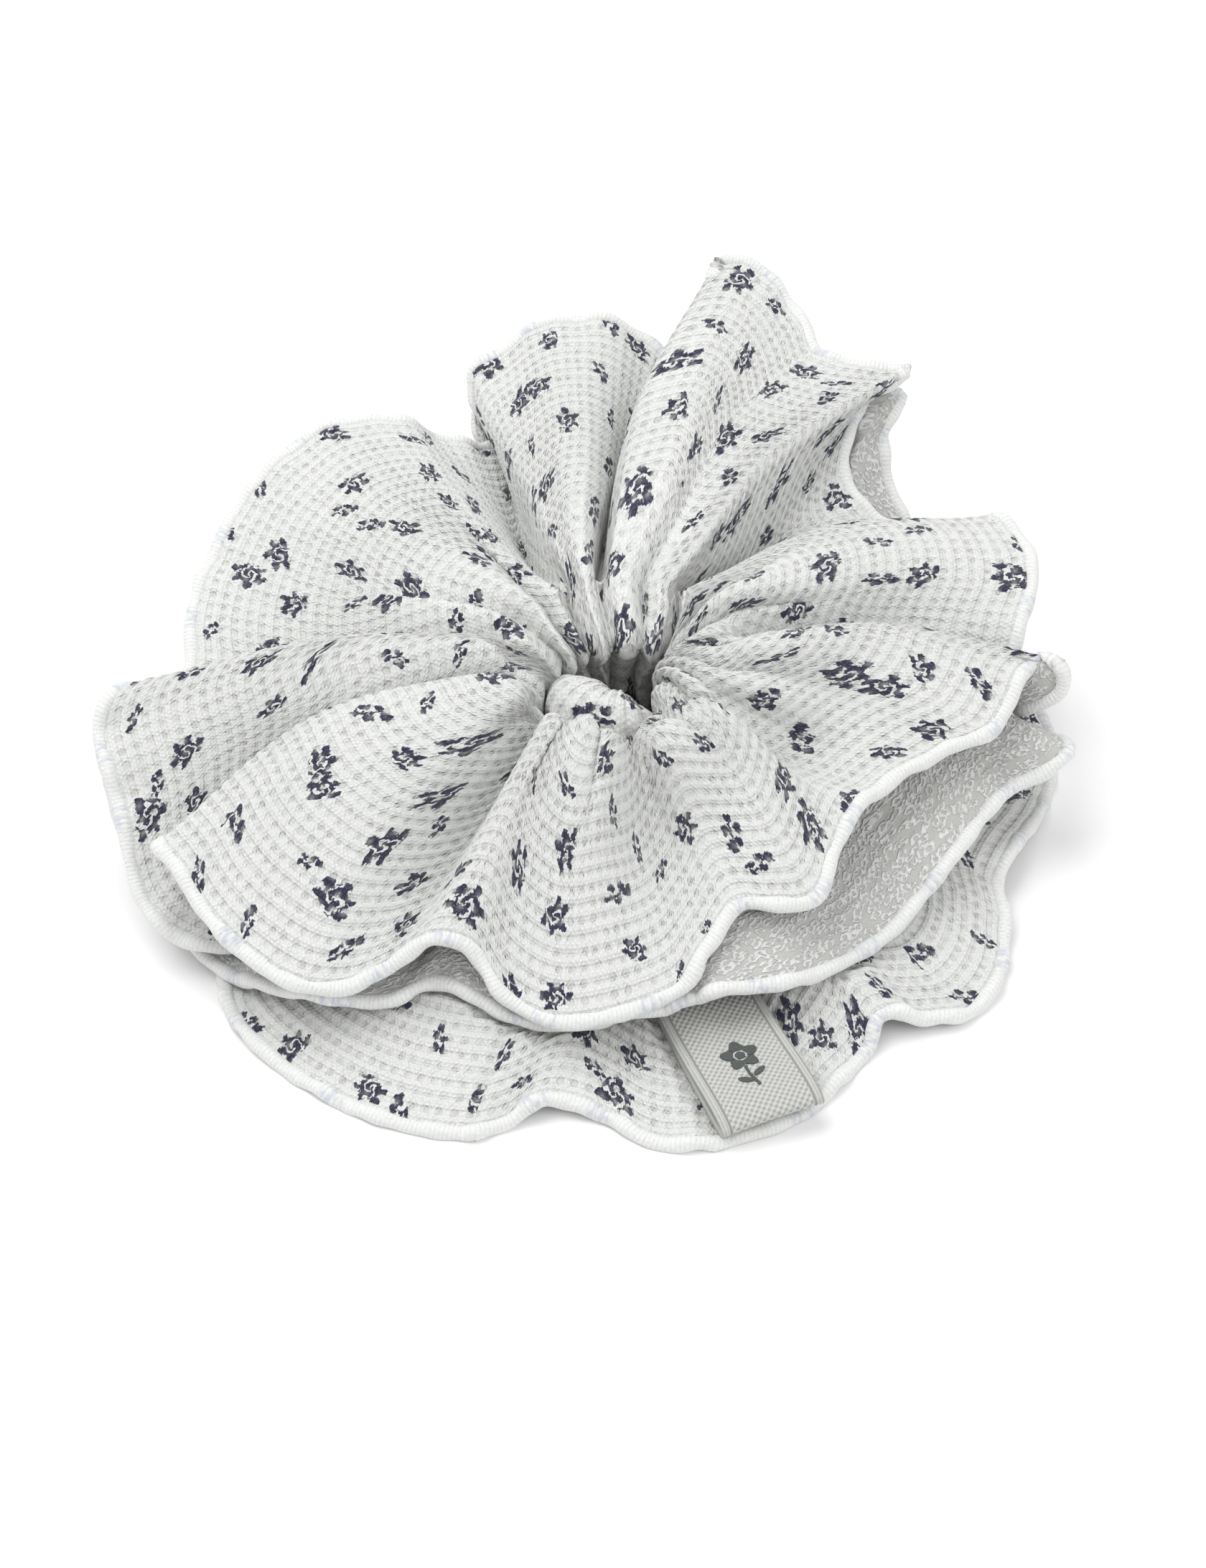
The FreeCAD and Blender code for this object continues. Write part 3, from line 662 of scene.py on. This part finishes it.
class Graph:
    """A material's node graph, with one-line arithmetic."""

    def __init__(self, name):
        self.material = bpy.data.materials.new(name)
        self.material.use_nodes = True
        self.tree = self.material.node_tree
        self.shader = self.tree.nodes["Principled BSDF"]

    def feed(self, socket, value):
        if isinstance(value, bpy.types.NodeSocket):
            self.tree.links.new(value, socket)
        elif value is not None:
            socket.default_value = value

    def node(self, kind, inputs=(), **settings):
        """A new node. inputs are for its first sockets, or {socket: value}."""
        made = self.tree.nodes.new("ShaderNode" + kind)
        for key, value in settings.items():
            setattr(made, key, value)
        for key, value in inputs.items() if isinstance(inputs, dict) else enumerate(inputs):
            self.feed(made.inputs[key], value)
        return made

    def math(self, operation, a, b=None):
        return self.node("Math", (a, b), operation=operation).outputs[0]

    def add(self, a, b):
        return self.math("ADD", a, b)

    def sub(self, a, b):
        return self.math("SUBTRACT", a, b)

    def mul(self, a, b):
        return self.math("MULTIPLY", a, b)

    def sine(self, value):
        return self.math("SINE", value)

    def size_of(self, value):
        return self.math("ABSOLUTE", value)

    def ramp(self, value, low, high, to_low=0.0, to_high=1.0):
        given = (value, low, high, to_low, to_high)
        return self.node("MapRange", given, interpolation_type="SMOOTHSTEP").outputs[0]

    def any_of(self, *values):
        best = values[0]
        for value in values[1:]:
            best = self.math("MAXIMUM", best, value)
        return best

    def vector(self, x, y, z=0.0):
        return self.node("CombineXYZ", (x, y, z)).outputs[0]

    def parts(self, vector):
        return self.node("SeparateXYZ", (vector,)).outputs

    def cloth_mm(self):
        """Distance along the strip and in from the hem, in millimetres."""
        uv = self.node("UVMap", uv_map=CLOTH_UV).outputs[0]
        return self.node("VectorMath", {0: uv, "Scale": 1 / MM}, operation="SCALE").outputs[0]

    def noise(self, vector, scale, detail=2.0, colour=False, rough=0.5):
        given = {"Vector": vector, "Scale": scale, "Detail": detail, "Roughness": rough}
        return self.node("TexNoise", given).outputs["Color" if colour else "Fac"]

    def mix(self, share, first, second):
        return self.node("Mix", {0: share, 6: first, 7: second}, data_type="RGBA").outputs[2]

    def bump(self, height, distance, under=None):
        given = {"Strength": 1.0, "Distance": distance, "Height": height, "Normal": under}
        return self.node("Bump", given).outputs[0]

    def finish(self, colour, rough, normal=None, sheen=0.0):
        given = {"Base Color": colour, "Roughness": rough, "Normal": normal, "Sheen Weight": sheen}
        for key, value in given.items():
            self.feed(self.shader.inputs[key], value)
        return self.material


def ellipse(g, x, y, centre, radii):
    """Above 0 inside an ellipse, and 1 at its centre."""
    across = g.math("DIVIDE", g.sub(x, centre[0]), radii[0])
    along = g.math("DIVIDE", g.sub(y, centre[1]), radii[1])
    return g.sub(1.0, g.math("SQRT", g.add(g.mul(across, across), g.mul(along, along))))


SPRAY_LEAVES = (((-1.8, 1.2), (1.2, 0.7)), ((-2.0, -0.6), (1.15, 0.55)), ((0.6, 1.9), (0.7, 0.8)),
                ((1.9, -1.5), (1.1, 0.6)), ((2.3, 0.5), (0.75, 0.5)))
SPRIG_LEAVES = (((-1.3, 0.75), (0.95, 0.55)), ((-0.2, -0.75), (0.95, 0.5)), ((0.75, 0.8), (0.85, 0.5)),
                ((1.9, -0.1), (0.95, 0.75)), ((-2.2, -0.3), (0.7, 0.45)))


def print_mask(g, cloth):
    """1 where the flower print lies: one small spray or sprig in each cell, turned at random."""
    blur = g.noise(cloth, 0.9, 3.0, colour=True)
    warp = g.node("VectorMath", (blur, (1.5, 1.5, 0.0), (0, 0, 0)), operation="MULTIPLY_ADD").outputs[0]
    moved = g.node("VectorMath", (cloth, warp), operation="ADD").outputs[0]
    given = {"Vector": cloth, "Scale": 1 / PRINT_SPACING, "Randomness": 0.72}
    middle = g.node("TexVoronoi", given, voronoi_dimensions="2D").outputs["Position"]
    chance = g.node("TexWhiteNoise", {"Vector": middle}, noise_dimensions="2D")
    turn, grow, kind = g.parts(chance.outputs["Color"])
    offset = g.node("VectorMath", (moved, middle), operation="SUBTRACT").outputs[0]
    dx, dy, _ = g.parts(offset)
    dx, dy = g.sub(dx, 0.75), g.sub(dy, 0.75)
    angle = g.mul(turn, 2 * math.pi)
    cos, sin = g.math("COSINE", angle), g.sine(angle)
    shrink = g.math("DIVIDE", 1.0, g.add(0.72, g.mul(grow, 0.5)))
    x = g.mul(g.add(g.mul(dx, cos), g.mul(dy, sin)), shrink)
    y = g.mul(g.sub(g.mul(dy, cos), g.mul(dx, sin)), shrink)
    radius = g.math("SQRT", g.add(g.mul(x, x), g.mul(y, y)))
    round_angle = g.math("ARCTAN2", y, x)
    petals = g.math("COSINE", g.mul(round_angle, 5.0))
    bloom = g.sub(g.add(2.1, g.mul(petals, 0.2)), radius)
    scribble = g.mul(g.sub(g.noise(cloth, 0.8, 2.0), 0.5), 8.0)
    swirl = g.sine(g.add(g.add(g.mul(radius, 4.6), g.mul(round_angle, 2.0)), scribble))
    bloom = g.math("MINIMUM", bloom, g.add(g.mul(swirl, 0.5), 0.32))
    spray = g.any_of(bloom, *(ellipse(g, x, y, *leaf) for leaf in SPRAY_LEAVES))
    wave = g.mul(g.sine(g.mul(x, 1.4)), 0.3)
    stem = g.math("MINIMUM", g.sub(0.3, g.size_of(g.sub(y, wave))), g.sub(2.3, g.size_of(x)))
    sprig = g.any_of(stem, *(ellipse(g, x, y, *leaf) for leaf in SPRIG_LEAVES))
    pick = g.math("GREATER_THAN", kind, 0.45)
    shape = g.add(spray, g.mul(g.sub(sprig, spray), pick))
    along, down, _ = g.parts(cloth)
    threads = g.noise(g.vector(g.mul(along, 3.2), g.mul(down, 1.2)), 1.0, 3.0)
    frayed = g.add(shape, g.mul(g.sub(threads, 0.5), 1.5))
    return g.ramp(frayed, 0.0, 0.2)


def wave(g, value, pitch):
    """0 at every multiple of pitch and 1 halfway between."""
    return g.sub(0.5, g.mul(g.math("COSINE", g.mul(value, 2 * math.pi / pitch)), 0.5))


def knit_relief(g, cloth):
    """Waffle height, how far a place is in a pit between four pillows, and the fine stitch height."""
    u, v, _ = g.parts(cloth)
    drift = g.mul(g.sub(g.noise(cloth, 0.22, 2.0), 0.5), 1.6)
    rows = wave(g, g.add(v, g.mul(drift, 0.15)), RIB_PITCH)
    wales = wave(g, g.add(u, drift), WALE_PITCH)
    uneven = g.ramp(g.noise(cloth, 0.3, 2.0), 0.35, 0.65, 0.35, 1.0)
    between_rows, between_wales = (g.math("POWER", g.sub(1.0, each), 2.0) for each in (rows, wales))
    pits = g.mul(g.mul(between_rows, between_wales), uneven)
    pillows = g.mul(g.mul(g.math("POWER", wales, 0.7), uneven), 0.4)
    height = g.add(g.mul(g.math("POWER", rows, 0.6), 0.4), pillows)
    height = g.sub(height, g.mul(pits, 0.35))
    shift = g.mul(g.math("FLOOR", g.mul(v, 1 / STITCH_PITCH)), 0.36)
    place = g.add(g.add(u, shift), g.mul(drift, 0.5))
    loops = g.mul(wave(g, place, 0.72), wave(g, v, STITCH_PITCH))
    fluff = g.noise(cloth, 2.4, 5.0, rough=0.72)
    return height, pits, g.add(g.mul(loops, 0.42), fluff)


def knit_right_side():
    g = Graph("knit_print")
    cloth = g.cloth_mm()
    height, pits, fine = knit_relief(g, cloth)
    ink = g.mul(print_mask(g, cloth), g.ramp(fine, 0.27, 0.42))
    ink = g.mul(ink, g.sub(1.0, g.mul(pits, 0.45)))
    tone = g.noise(cloth, 0.08, 2.0)
    white = g.mix(g.ramp(tone, 0.3, 0.7), (0.84, 0.855, 0.835, 1), (0.89, 0.90, 0.885, 1))
    # Painted shade: the white is darker where the waffle relief is low, much darker in the pits between
    # its pillows, and darker between the fine stitch loops.
    white = g.mix(g.ramp(height, 0.0, 0.42), (0.79, 0.80, 0.775, 1), white)
    white = g.mix(g.mul(pits, 0.9), white, (0.52, 0.525, 0.49, 1))
    white = g.mix(g.ramp(fine, 0.4, 0.8), (0.75, 0.76, 0.735, 1), white)
    # Painted shade on the print too: the navy is darker between the stitch loops and lighter on them.
    navy = g.mix(g.ramp(fine, 0.5, 1.2), (0.013, 0.014, 0.042, 1), (0.06, 0.062, 0.145, 1))
    relief = g.bump(fine, 0.0003, g.bump(height, 0.00055))
    return g.finish(g.mix(ink, white, navy), 0.93, relief, sheen=0.25)


def knit_wrong_side():
    g = Graph("knit_wrong_side")
    cloth = g.cloth_mm()
    u, v, _ = g.parts(cloth)
    sway = g.mul(g.sub(g.noise(cloth, 0.9, 2.0), 0.5), 1.6)
    place = g.vector(g.mul(g.add(u, sway), 0.62), g.mul(g.add(v, sway), 1.25))
    lace = g.node("TexVoronoi", {"Vector": place, "Scale": 0.8}, voronoi_dimensions="2D")
    ring = g.size_of(g.sub(lace.outputs["Distance"], 0.36))
    loops = g.sub(1.0, g.ramp(ring, 0.02, 0.24))
    fluff = g.noise(g.vector(u, g.mul(v, 1.7)), 2.2, 5.0, rough=0.7)
    height = g.add(g.mul(loops, 0.66), g.mul(fluff, 0.7))
    # Painted shade: the wrong side is darker where its relief is low, in the holes between the lace
    # loops.
    white = g.mix(g.ramp(height, 0.3, 0.85), (0.60, 0.595, 0.57, 1), (0.89, 0.89, 0.88, 1))
    show_through = g.mul(g.ramp(g.noise(cloth, 0.12, 2.0), 0.55, 0.75), 0.25)
    colour = g.mix(show_through, white, (0.6, 0.61, 0.66, 1))
    return g.finish(colour, 0.95, g.bump(height, 0.0005), sheen=0.2)


def hem_material():
    g = Graph("hem_thread")
    cloth = g.cloth_mm()
    u, v, _ = g.parts(cloth)
    wraps = g.size_of(g.sine(g.add(g.mul(u, math.pi / 0.62), g.mul(v, 0.5))))
    fluff = g.noise(g.vector(g.mul(u, 1.6), g.mul(v, 0.8)), 2.0, 4.0, rough=0.65)
    height = g.add(g.mul(wraps, 0.22), fluff)
    spots = g.node("TexVoronoi", {"W": u, "Scale": 1 / 17.0}, voronoi_dimensions="1D")
    near_spot = g.ramp(spots.outputs["Distance"], 0.16, 0.06)
    patchy = g.ramp(g.noise(g.vector(g.mul(u, 1.4), g.mul(v, 0.5)), 1.1, 2.0), 0.42, 0.62)
    # Painted shade: the hem thread is darker where its relief is low, between the wraps and in low fluff.
    white = g.mix(g.ramp(height, 0.3, 1.0), (0.70, 0.71, 0.69, 1), (0.86, 0.87, 0.85, 1))
    colour = g.mix(g.mul(g.mul(near_spot, patchy), 0.6), white, (0.5, 0.53, 0.64, 1))
    return g.finish(colour, 0.9, g.bump(height, 0.00022), sheen=0.3)


def tape_material():
    g = Graph("label_tape")
    cloth = g.cloth_mm()
    w, along, _ = g.parts(cloth)
    edge = g.size_of(w)
    body = g.ramp(edge, 6.15, 5.95)
    rising = g.sine(g.mul(g.add(w, along), 2 * math.pi / 0.95))
    falling = g.sine(g.mul(g.sub(g.mul(w, 0.7), along), 2 * math.pi / 0.85))
    twill = g.mul(g.add(rising, g.mul(falling, 0.7)), 0.8)
    ribs = g.sine(g.mul(w, 2 * math.pi / 0.42))
    weave = g.add(g.mul(twill, body), g.mul(g.mul(ribs, 0.5), g.sub(1.0, body)))
    groove = g.ramp(g.size_of(g.sub(edge, 6.05)), 0.0, 0.22)
    height = g.mul(g.add(g.mul(weave, 0.3), 0.6), groove)
    height = g.add(height, g.mul(g.noise(cloth, 3.0, 3.0), 0.35))
    # Painted shade: the tape is darker where its relief is low, between the weave's threads and in the
    # groove along each edge.
    tone = g.mix(g.ramp(height, 0.2, 1.1), (0.27, 0.275, 0.255, 1), (0.56, 0.565, 0.54, 1))
    return g.finish(tone, 0.7, g.bump(height, 0.00018), sheen=0.1)


def motif_material():
    g = Graph("label_motif")
    cloth = g.cloth_mm()
    _, along, _ = g.parts(cloth)
    weft = g.sine(g.mul(along, 2 * math.pi / 0.3))
    height = g.add(g.mul(weft, 0.35), g.noise(cloth, 3.0, 2.0))
    # Painted shade: the woven flower is darker where its relief is low, between the weft picks.
    tone = g.mix(g.ramp(height, 0.2, 0.9), (0.055, 0.065, 0.062, 1), (0.11, 0.125, 0.12, 1))
    return g.finish(tone, 0.55, g.bump(height, 0.0001))


def thread_material():
    g = Graph("sewing_thread")
    place = g.node("TexCoord").outputs["Object"]
    twist = g.noise(place, 2600.0, 2.0)
    # Painted shade: the thread is darker where its twist relief is low.
    tone = g.mix(twist, (0.66, 0.66, 0.64, 1), (0.84, 0.84, 0.82, 1))
    return g.finish(tone, 0.6, g.bump(twist, 0.00008))


def elastic_material():
    g = Graph("elastic")
    cloth = g.cloth_mm()
    u, v, _ = g.parts(cloth)
    cords = g.size_of(g.sine(g.mul(u, math.pi / 0.9)))
    picks = g.size_of(g.sine(g.mul(v, math.pi / 0.55)))
    height = g.add(g.mul(cords, 0.6), g.mul(picks, 0.4))
    # Painted shade: the elastic is darker in the grooves between its cords and picks.
    tone = g.mix(height, (0.55, 0.55, 0.53, 1), (0.8, 0.8, 0.78, 1))
    return g.finish(tone, 0.6, g.bump(height, 0.0002))


knit = knit_right_side()
wrong = knit_wrong_side()
hem_mat = hem_material()
thread_mat = thread_material()
elastic_mat = elastic_material()
tape_mat = tape_material()
motif_mat = motif_material()

# ---------------------------------------------------------------------------
# The four ruffles

LAYERS = {
    "top": dict(stops=TOP_STOPS, root_of=top_root, materials=[knit, wrong], seed=5),
    "second": dict(
        stops=SECOND_STOPS, root_of=root_at((14.5, 16.6), (15.6, 19.4)), materials=[wrong, knit],
        seed=8, near_height=23.4, near_lift=3.0, pleat_height=0.6, rib_height=0.18,
    ),
    "third": dict(
        stops=THIRD_STOPS, root_of=root_at((14.1, 10.6), (14.8, 12.2)), materials=[knit, wrong],
        seed=11, near_height=11.2, near_lift=0.5, pleat_height=0.6, seam=0.7,
    ),
    "bottom": dict(
        stops=BOTTOM_STOPS, root_of=root_at((14.0, 6.0), (14.8, 6.9)), materials=[wrong, knit],
        seed=14, near_height=6.2, near_lift=0.5, pleat_height=0.6, rib_height=0.18,
    ),
}

pieces = {}
above = []
for layer, options in LAYERS.items():
    rng = np.random.default_rng(options.pop("seed"))
    cloth_name = layer + "_ruffle"
    pieces[cloth_name], surface = ruffle(cloth_name, rng=rng, above=above, **options)
    pieces[layer + "_hem"] = hem_tube(layer + "_hem", surface, HEM_RADIUS, hem_mat)
    above = [(*surface_tree(surface["points"]), LAYER_GAP, HEM_GAP)]
    if layer == "second":
        above.append(label_obstacle())

# ---------------------------------------------------------------------------
# The casing, the elastic in it, and the sewing


def ring_tube(name, section_of, columns, sides, material, relief=None, around_mm=55.0, squareness=1.0):
    """A closed tube round the ring. section_of(azimuth) gives its middle radius and height and its
    half width and half height. relief(azimuth, turn) is added along its normal."""
    azimuth = np.arange(columns) / columns * 360
    turn = np.arange(sides) / sides * 2 * math.pi
    section = (np.asarray(value, float) + 0 * azimuth for value in section_of(azimuth))
    middle, height, half_wide, half_tall = section
    cos = np.sign(np.cos(turn)) * np.abs(np.cos(turn)) ** squareness
    sin = np.sign(np.sin(turn)) * np.abs(np.sin(turn)) ** squareness
    radius = middle[:, None] + half_wide[:, None] * cos[None, :]
    level = height[:, None] + half_tall[:, None] * sin[None, :]
    points = polar(azimuth[:, None], radius, level)
    if relief:
        level = np.sin(turn)[None, :] + 0 * azimuth[:, None]
        radial = polar(azimuth[:, None], np.cos(turn)[None, :], level)
        points = points + radial * relief(azimuth[:, None], turn[None, :])[..., None]
    quads = tube_quads(columns, sides)[1]
    across = np.linalg.norm(np.roll(points, -1, axis=1) - points, axis=2).sum(axis=1).mean()
    v0 = np.repeat(np.arange(columns), sides) / columns * around_mm
    v1 = v0 + around_mm / columns
    u0 = np.tile(np.arange(sides), columns) / sides * across
    u1 = u0 + across / sides
    uv = np.stack([np.stack([u0, u0, u1, u1], -1), np.stack([v0, v1, v1, v0], -1)], axis=-1)
    return quad_mesh(name, points.reshape(-1, 3), quads, uv, np.zeros(len(quads)), [material])


THREAD_SIDES = 6


def thread(name, points, radius, material, closed=False):
    """A thread along a line of points."""
    line = np.array(points, float)
    ahead = np.roll(line, -1, axis=0) - np.roll(line, 1, axis=0)
    if not closed:
        ahead[0], ahead[-1] = line[1] - line[0], line[-1] - line[-2]
    ahead = unit(ahead)
    side = unit(np.cross(ahead, np.where(np.abs(ahead[:, 2:]) > 0.8, [[1.0, 0.3, 0]], [[0, 0, 1.0]])))
    rings = tube_points(line, radius, side, np.cross(side, ahead), THREAD_SIDES)
    ids, quads = tube_quads(len(line), THREAD_SIDES)
    if not closed:
        quads = quads[: (len(line) - 1) * THREAD_SIDES]
        fans = [ids[0][[0, 1, 2, 3]], ids[0][[0, 3, 4, 5]], ids[-1][[3, 2, 1, 0]], ids[-1][[5, 4, 3, 0]]]
        quads = np.concatenate([quads, fans])
    uv = np.tile(np.array([[0, 0], [1, 0], [1, 1], [0, 1]], float), (len(quads), 1, 1))
    return quad_mesh(name, rings.reshape(-1, 3), quads, uv, np.zeros(len(quads)), [material])


def roll_section(azimuth):
    front = roll_share(azimuth)
    return 9.5 - 2.4 * front, 17.0 + 3.6 * front, 0.4 + 4.3 * front, 4.6 + 1.1 * front


def roll_relief(azimuth, turn):
    ribs = np.abs(np.sin(np.radians(azimuth) * 12.5 + 0.18 * np.sin(turn))) ** 0.8
    folds = np.sin(np.radians(azimuth) * 4 + 0.9) * 0.5 + np.sin(np.radians(azimuth) * 7) * 0.25
    return (0.32 * ribs + 0.4 * folds) * (0.25 + 0.75 * roll_share(azimuth))


def running_stitch(radius, height, count, points=720):
    a = np.arange(points) / points * 360
    return polar(a, radius + 0.3 * np.sin(np.radians(a) * count), height + 0 * a)


def zigzag(azimuth, radius, low, high, width, count):
    t = np.linspace(0, 1, count * 6 + 1)
    swing = width / radius * np.degrees(np.arcsin(np.sin(t * count * 2 * math.pi)) / math.pi)
    return polar(azimuth + swing, radius + 0 * t, low + (high - low) * t)


def node_azimuth(node):
    """Azimuth of a CAD node's middle, in degrees."""
    low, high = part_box(node)
    return math.degrees(math.atan2(low[1] + high[1], low[0] + high[0]))


pieces["inner_casing"] = ring_tube("inner_casing", roll_section, 600, 40, knit, roll_relief)
pieces["outer_casing"] = ring_tube(
    "outer_casing", lambda a: (12.6, 12.6, 0.3, 6.0), 720, 28, knit, around_mm=110.0, squareness=0.6
)
pieces["elastic_band"] = ring_tube(
    "elastic_band", lambda a: (11.0, 16.8, 0.65, 3.4), 360, 24, elastic_mat, around_mm=69.0,
    squareness=0.35,
)
for name, height in (("upper_casing_stitch", 18.2), ("lower_casing_stitch", 7.0)):
    line = running_stitch(13.2, height, 48)
    pieces[name] = thread(name, line, 0.17, thread_mat, closed=True)

# Sewing over the joins: which half, then the zigzag's radius, its ends, its width and its count
JOINS = {
    "elastic_join_stitch": ("back", 11.85, 14.4, 19.4, 3.2, 6),
    "inner_join_seam": ("back", 9.0, 13.6, 21.4, 0.7, 8),
    "outer_join_seam": ("front", 13.15, 7.6, 17.4, 0.7, 9),
}


def label_tape(material):
    along = label_frame()[0]
    across = np.linspace(-LABEL_WIDTH / 2, LABEL_WIDTH / 2, 25)
    s, w = (grid.ravel() for grid in np.meshgrid(along, across, indexing="ij"))
    faces = [on_label(s, w, LABEL_THICK / 2), on_label(s, w, -LABEL_THICK / 2)]
    ids = np.arange(s.size).reshape(len(along), len(across))
    outer = grid_quads(ids)
    border = np.concatenate([ids[:-1, 0], ids[-1, :-1], ids[:0:-1, -1], ids[0, :0:-1]])
    after = np.roll(border, -1)
    count = ids.size
    rim = np.stack([border, border + count, after + count, after], axis=1)
    quads = np.concatenate([outer[:, ::-1], outer + count, rim[:, ::-1]])
    uv = np.stack([w, s], axis=1)[quads % count]
    return quad_mesh("label_loop", np.concatenate(faces), quads, uv, np.zeros(len(quads)), [material])


def flower_shape(x, y):
    """Above 0 inside a plain five-petalled flower on a stem with two leaves."""
    cx, cy = x, y - 1.4
    radius = np.hypot(cx, cy)
    angle = np.arctan2(cy, cx)
    bloom = 2.25 + 0.45 * np.cos(5 * (angle - math.pi / 2)) - radius
    slits = np.abs(np.sin(2.5 * (angle + math.pi / 10))) - 0.16 / np.maximum(radius, 0.3)
    bloom = np.minimum(bloom, np.maximum(slits, 0.55 - radius))
    bloom = np.minimum(bloom, np.abs(radius - 0.85) - 0.16)
    stem = np.minimum(0.2 - np.abs(x - 0.25 * np.sin(y * 0.9)), np.minimum(y + 4.6, -0.7 - y))
    leaves = []
    for side, level in ((1, -2.3), (-1, -3.1)):
        lx = (x * side - 1.15) * 0.85 + (y - level) * 0.52
        ly = (y - level) * 0.85 - (x * side - 1.15) * 0.52
        leaves.append(1 - np.hypot(lx / 1.05, ly / 0.42))
    return np.maximum.reduce([bloom, stem, *leaves])


def label_motif(material, cell=0.09):
    xs, ys = np.arange(-3.2, 3.2, cell), np.arange(-5.0, 4.6, cell)
    gx, gy = np.meshgrid(xs, ys, indexing="ij")
    inside = flower_shape(gx + cell / 2, gy + cell / 2) > 0
    edges_x, edges_y = (np.append(each, each[-1] + cell) for each in (xs, ys))
    corners_x, corners_y = np.meshgrid(edges_x, edges_y, indexing="ij")
    shape = corners_x.shape
    along = MOTIF_MIDDLE - corners_y.ravel()
    across = corners_x.ravel()
    top = on_label(along, across, LABEL_THICK / 2 + 0.14)
    low = on_label(along, across, LABEL_THICK / 2 + 0.02)
    ids = np.arange(shape[0] * shape[1]).reshape(shape)
    count = ids.size
    i, j = np.nonzero(inside)
    a, b, c, d = ids[i, j], ids[i + 1, j], ids[i + 1, j + 1], ids[i, j + 1]
    quads = [np.stack([a, b, c, d], 1), np.stack([a, d, c, b], 1) + count]
    padded = np.pad(inside, 1)
    sides = (((0, -1), a, b), ((1, 0), b, c), ((0, 1), c, d), ((-1, 0), d, a))
    for (di, dj), first, second in sides:
        edge = ~padded[i + 1 + di, j + 1 + dj]
        quads.append(np.stack([first[edge] + count, second[edge] + count, second[edge], first[edge]], 1))
    quads = np.concatenate(quads)
    used, quads = np.unique(quads, return_inverse=True)
    quads = quads.reshape(-1, 4)
    points = np.concatenate([top, low])[used]
    place = np.tile(np.stack([across, along], 1), (2, 1))[used]
    return quad_mesh("label_flower", points, quads, place[quads], np.zeros(len(quads)), [material])


def label_stitch(material):
    """A row of short stitches across the tape's root."""
    t = np.linspace(-1, 1, 61)
    height = 14.25 + 0.75 * np.sign(np.sin(t * 26)) * np.abs(np.sin(t * 26)) ** 0.4
    across = t * (LABEL_WIDTH / 2 - 0.8)
    return thread("label_sewing", out_from_root(16.6, across, height), 0.15, material)


label = {"woven_label": label_tape(tape_mat), "label_motif": label_motif(motif_mat)}
stitch = label_stitch(thread_mat)
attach(stitch, "front_half")
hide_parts("label_stitch")
for name, piece in label.items():
    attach(piece, "label")
    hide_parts(name)

# ---------------------------------------------------------------------------
# What each piece stands for, and the halves the join threads move with

for name, piece in pieces.items():
    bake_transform(piece)
    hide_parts(*[f"{name}_{half}" for half in HALVES])
for name, (half, *shape) in JOINS.items():
    line = zigzag(node_azimuth(name), *shape)
    pieces[name] = thread(name.rsplit("_", 1)[0] + "_sewing", line, 0.16, thread_mat)
    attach(pieces[name], half + "_half")
    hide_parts(name)

# ---------------------------------------------------------------------------
# Stage, light and camera


def look_from(position, target):
    return (Vector(target) - Vector(position)).to_track_quat("-Z", "Y").to_euler()


def area_light(name, position, size, power):
    data = bpy.data.lights.new(name, "AREA")
    data.shape = "DISK"
    data.size = size
    data.energy = power
    light = bpy.data.objects.new(name, data)
    light.location = position
    light.rotation_euler = look_from(position, (0, 0, 0.02))
    bpy.context.collection.objects.link(light)


CAMERA_ELEVATION = 43.0
CAMERA_DISTANCE = 0.48
CAMERA_TARGET = (-0.003, -0.012, 0.014)
CAMERA_LENS = 75.7


def camera():
    data = bpy.data.cameras.new("camera")
    data.lens = CAMERA_LENS
    data.sensor_width = 36
    cam = bpy.data.objects.new("camera", data)
    up = math.radians(CAMERA_ELEVATION)
    back = Vector((0, -math.cos(up), math.sin(up)))
    cam.location = Vector(CAMERA_TARGET) + back * CAMERA_DISTANCE
    cam.rotation_euler = look_from(cam.location, CAMERA_TARGET)
    bpy.context.collection.objects.link(cam)
    bpy.context.scene.camera = cam


bpy.ops.mesh.primitive_plane_add(size=3.0)
floor = bpy.context.object
floor.name = "floor"
floor.data.materials.append(Graph("floor").finish((0.94, 0.94, 0.94, 1), 0.9))
area_light("key", (-0.4, 0.2, 0.85), 0.9, 6.4)
area_light("fill", (0.6, -0.5, 0.7), 0.8, 2.9)
bpy.context.scene.view_settings.view_transform = "Standard"
world = bpy.data.worlds.new("studio")
bpy.context.scene.world = world
world.use_nodes = True
world.node_tree.nodes["Background"].inputs[0].default_value = (1, 1, 1, 1)
world.node_tree.nodes["Background"].inputs[1].default_value = 0.7
camera()
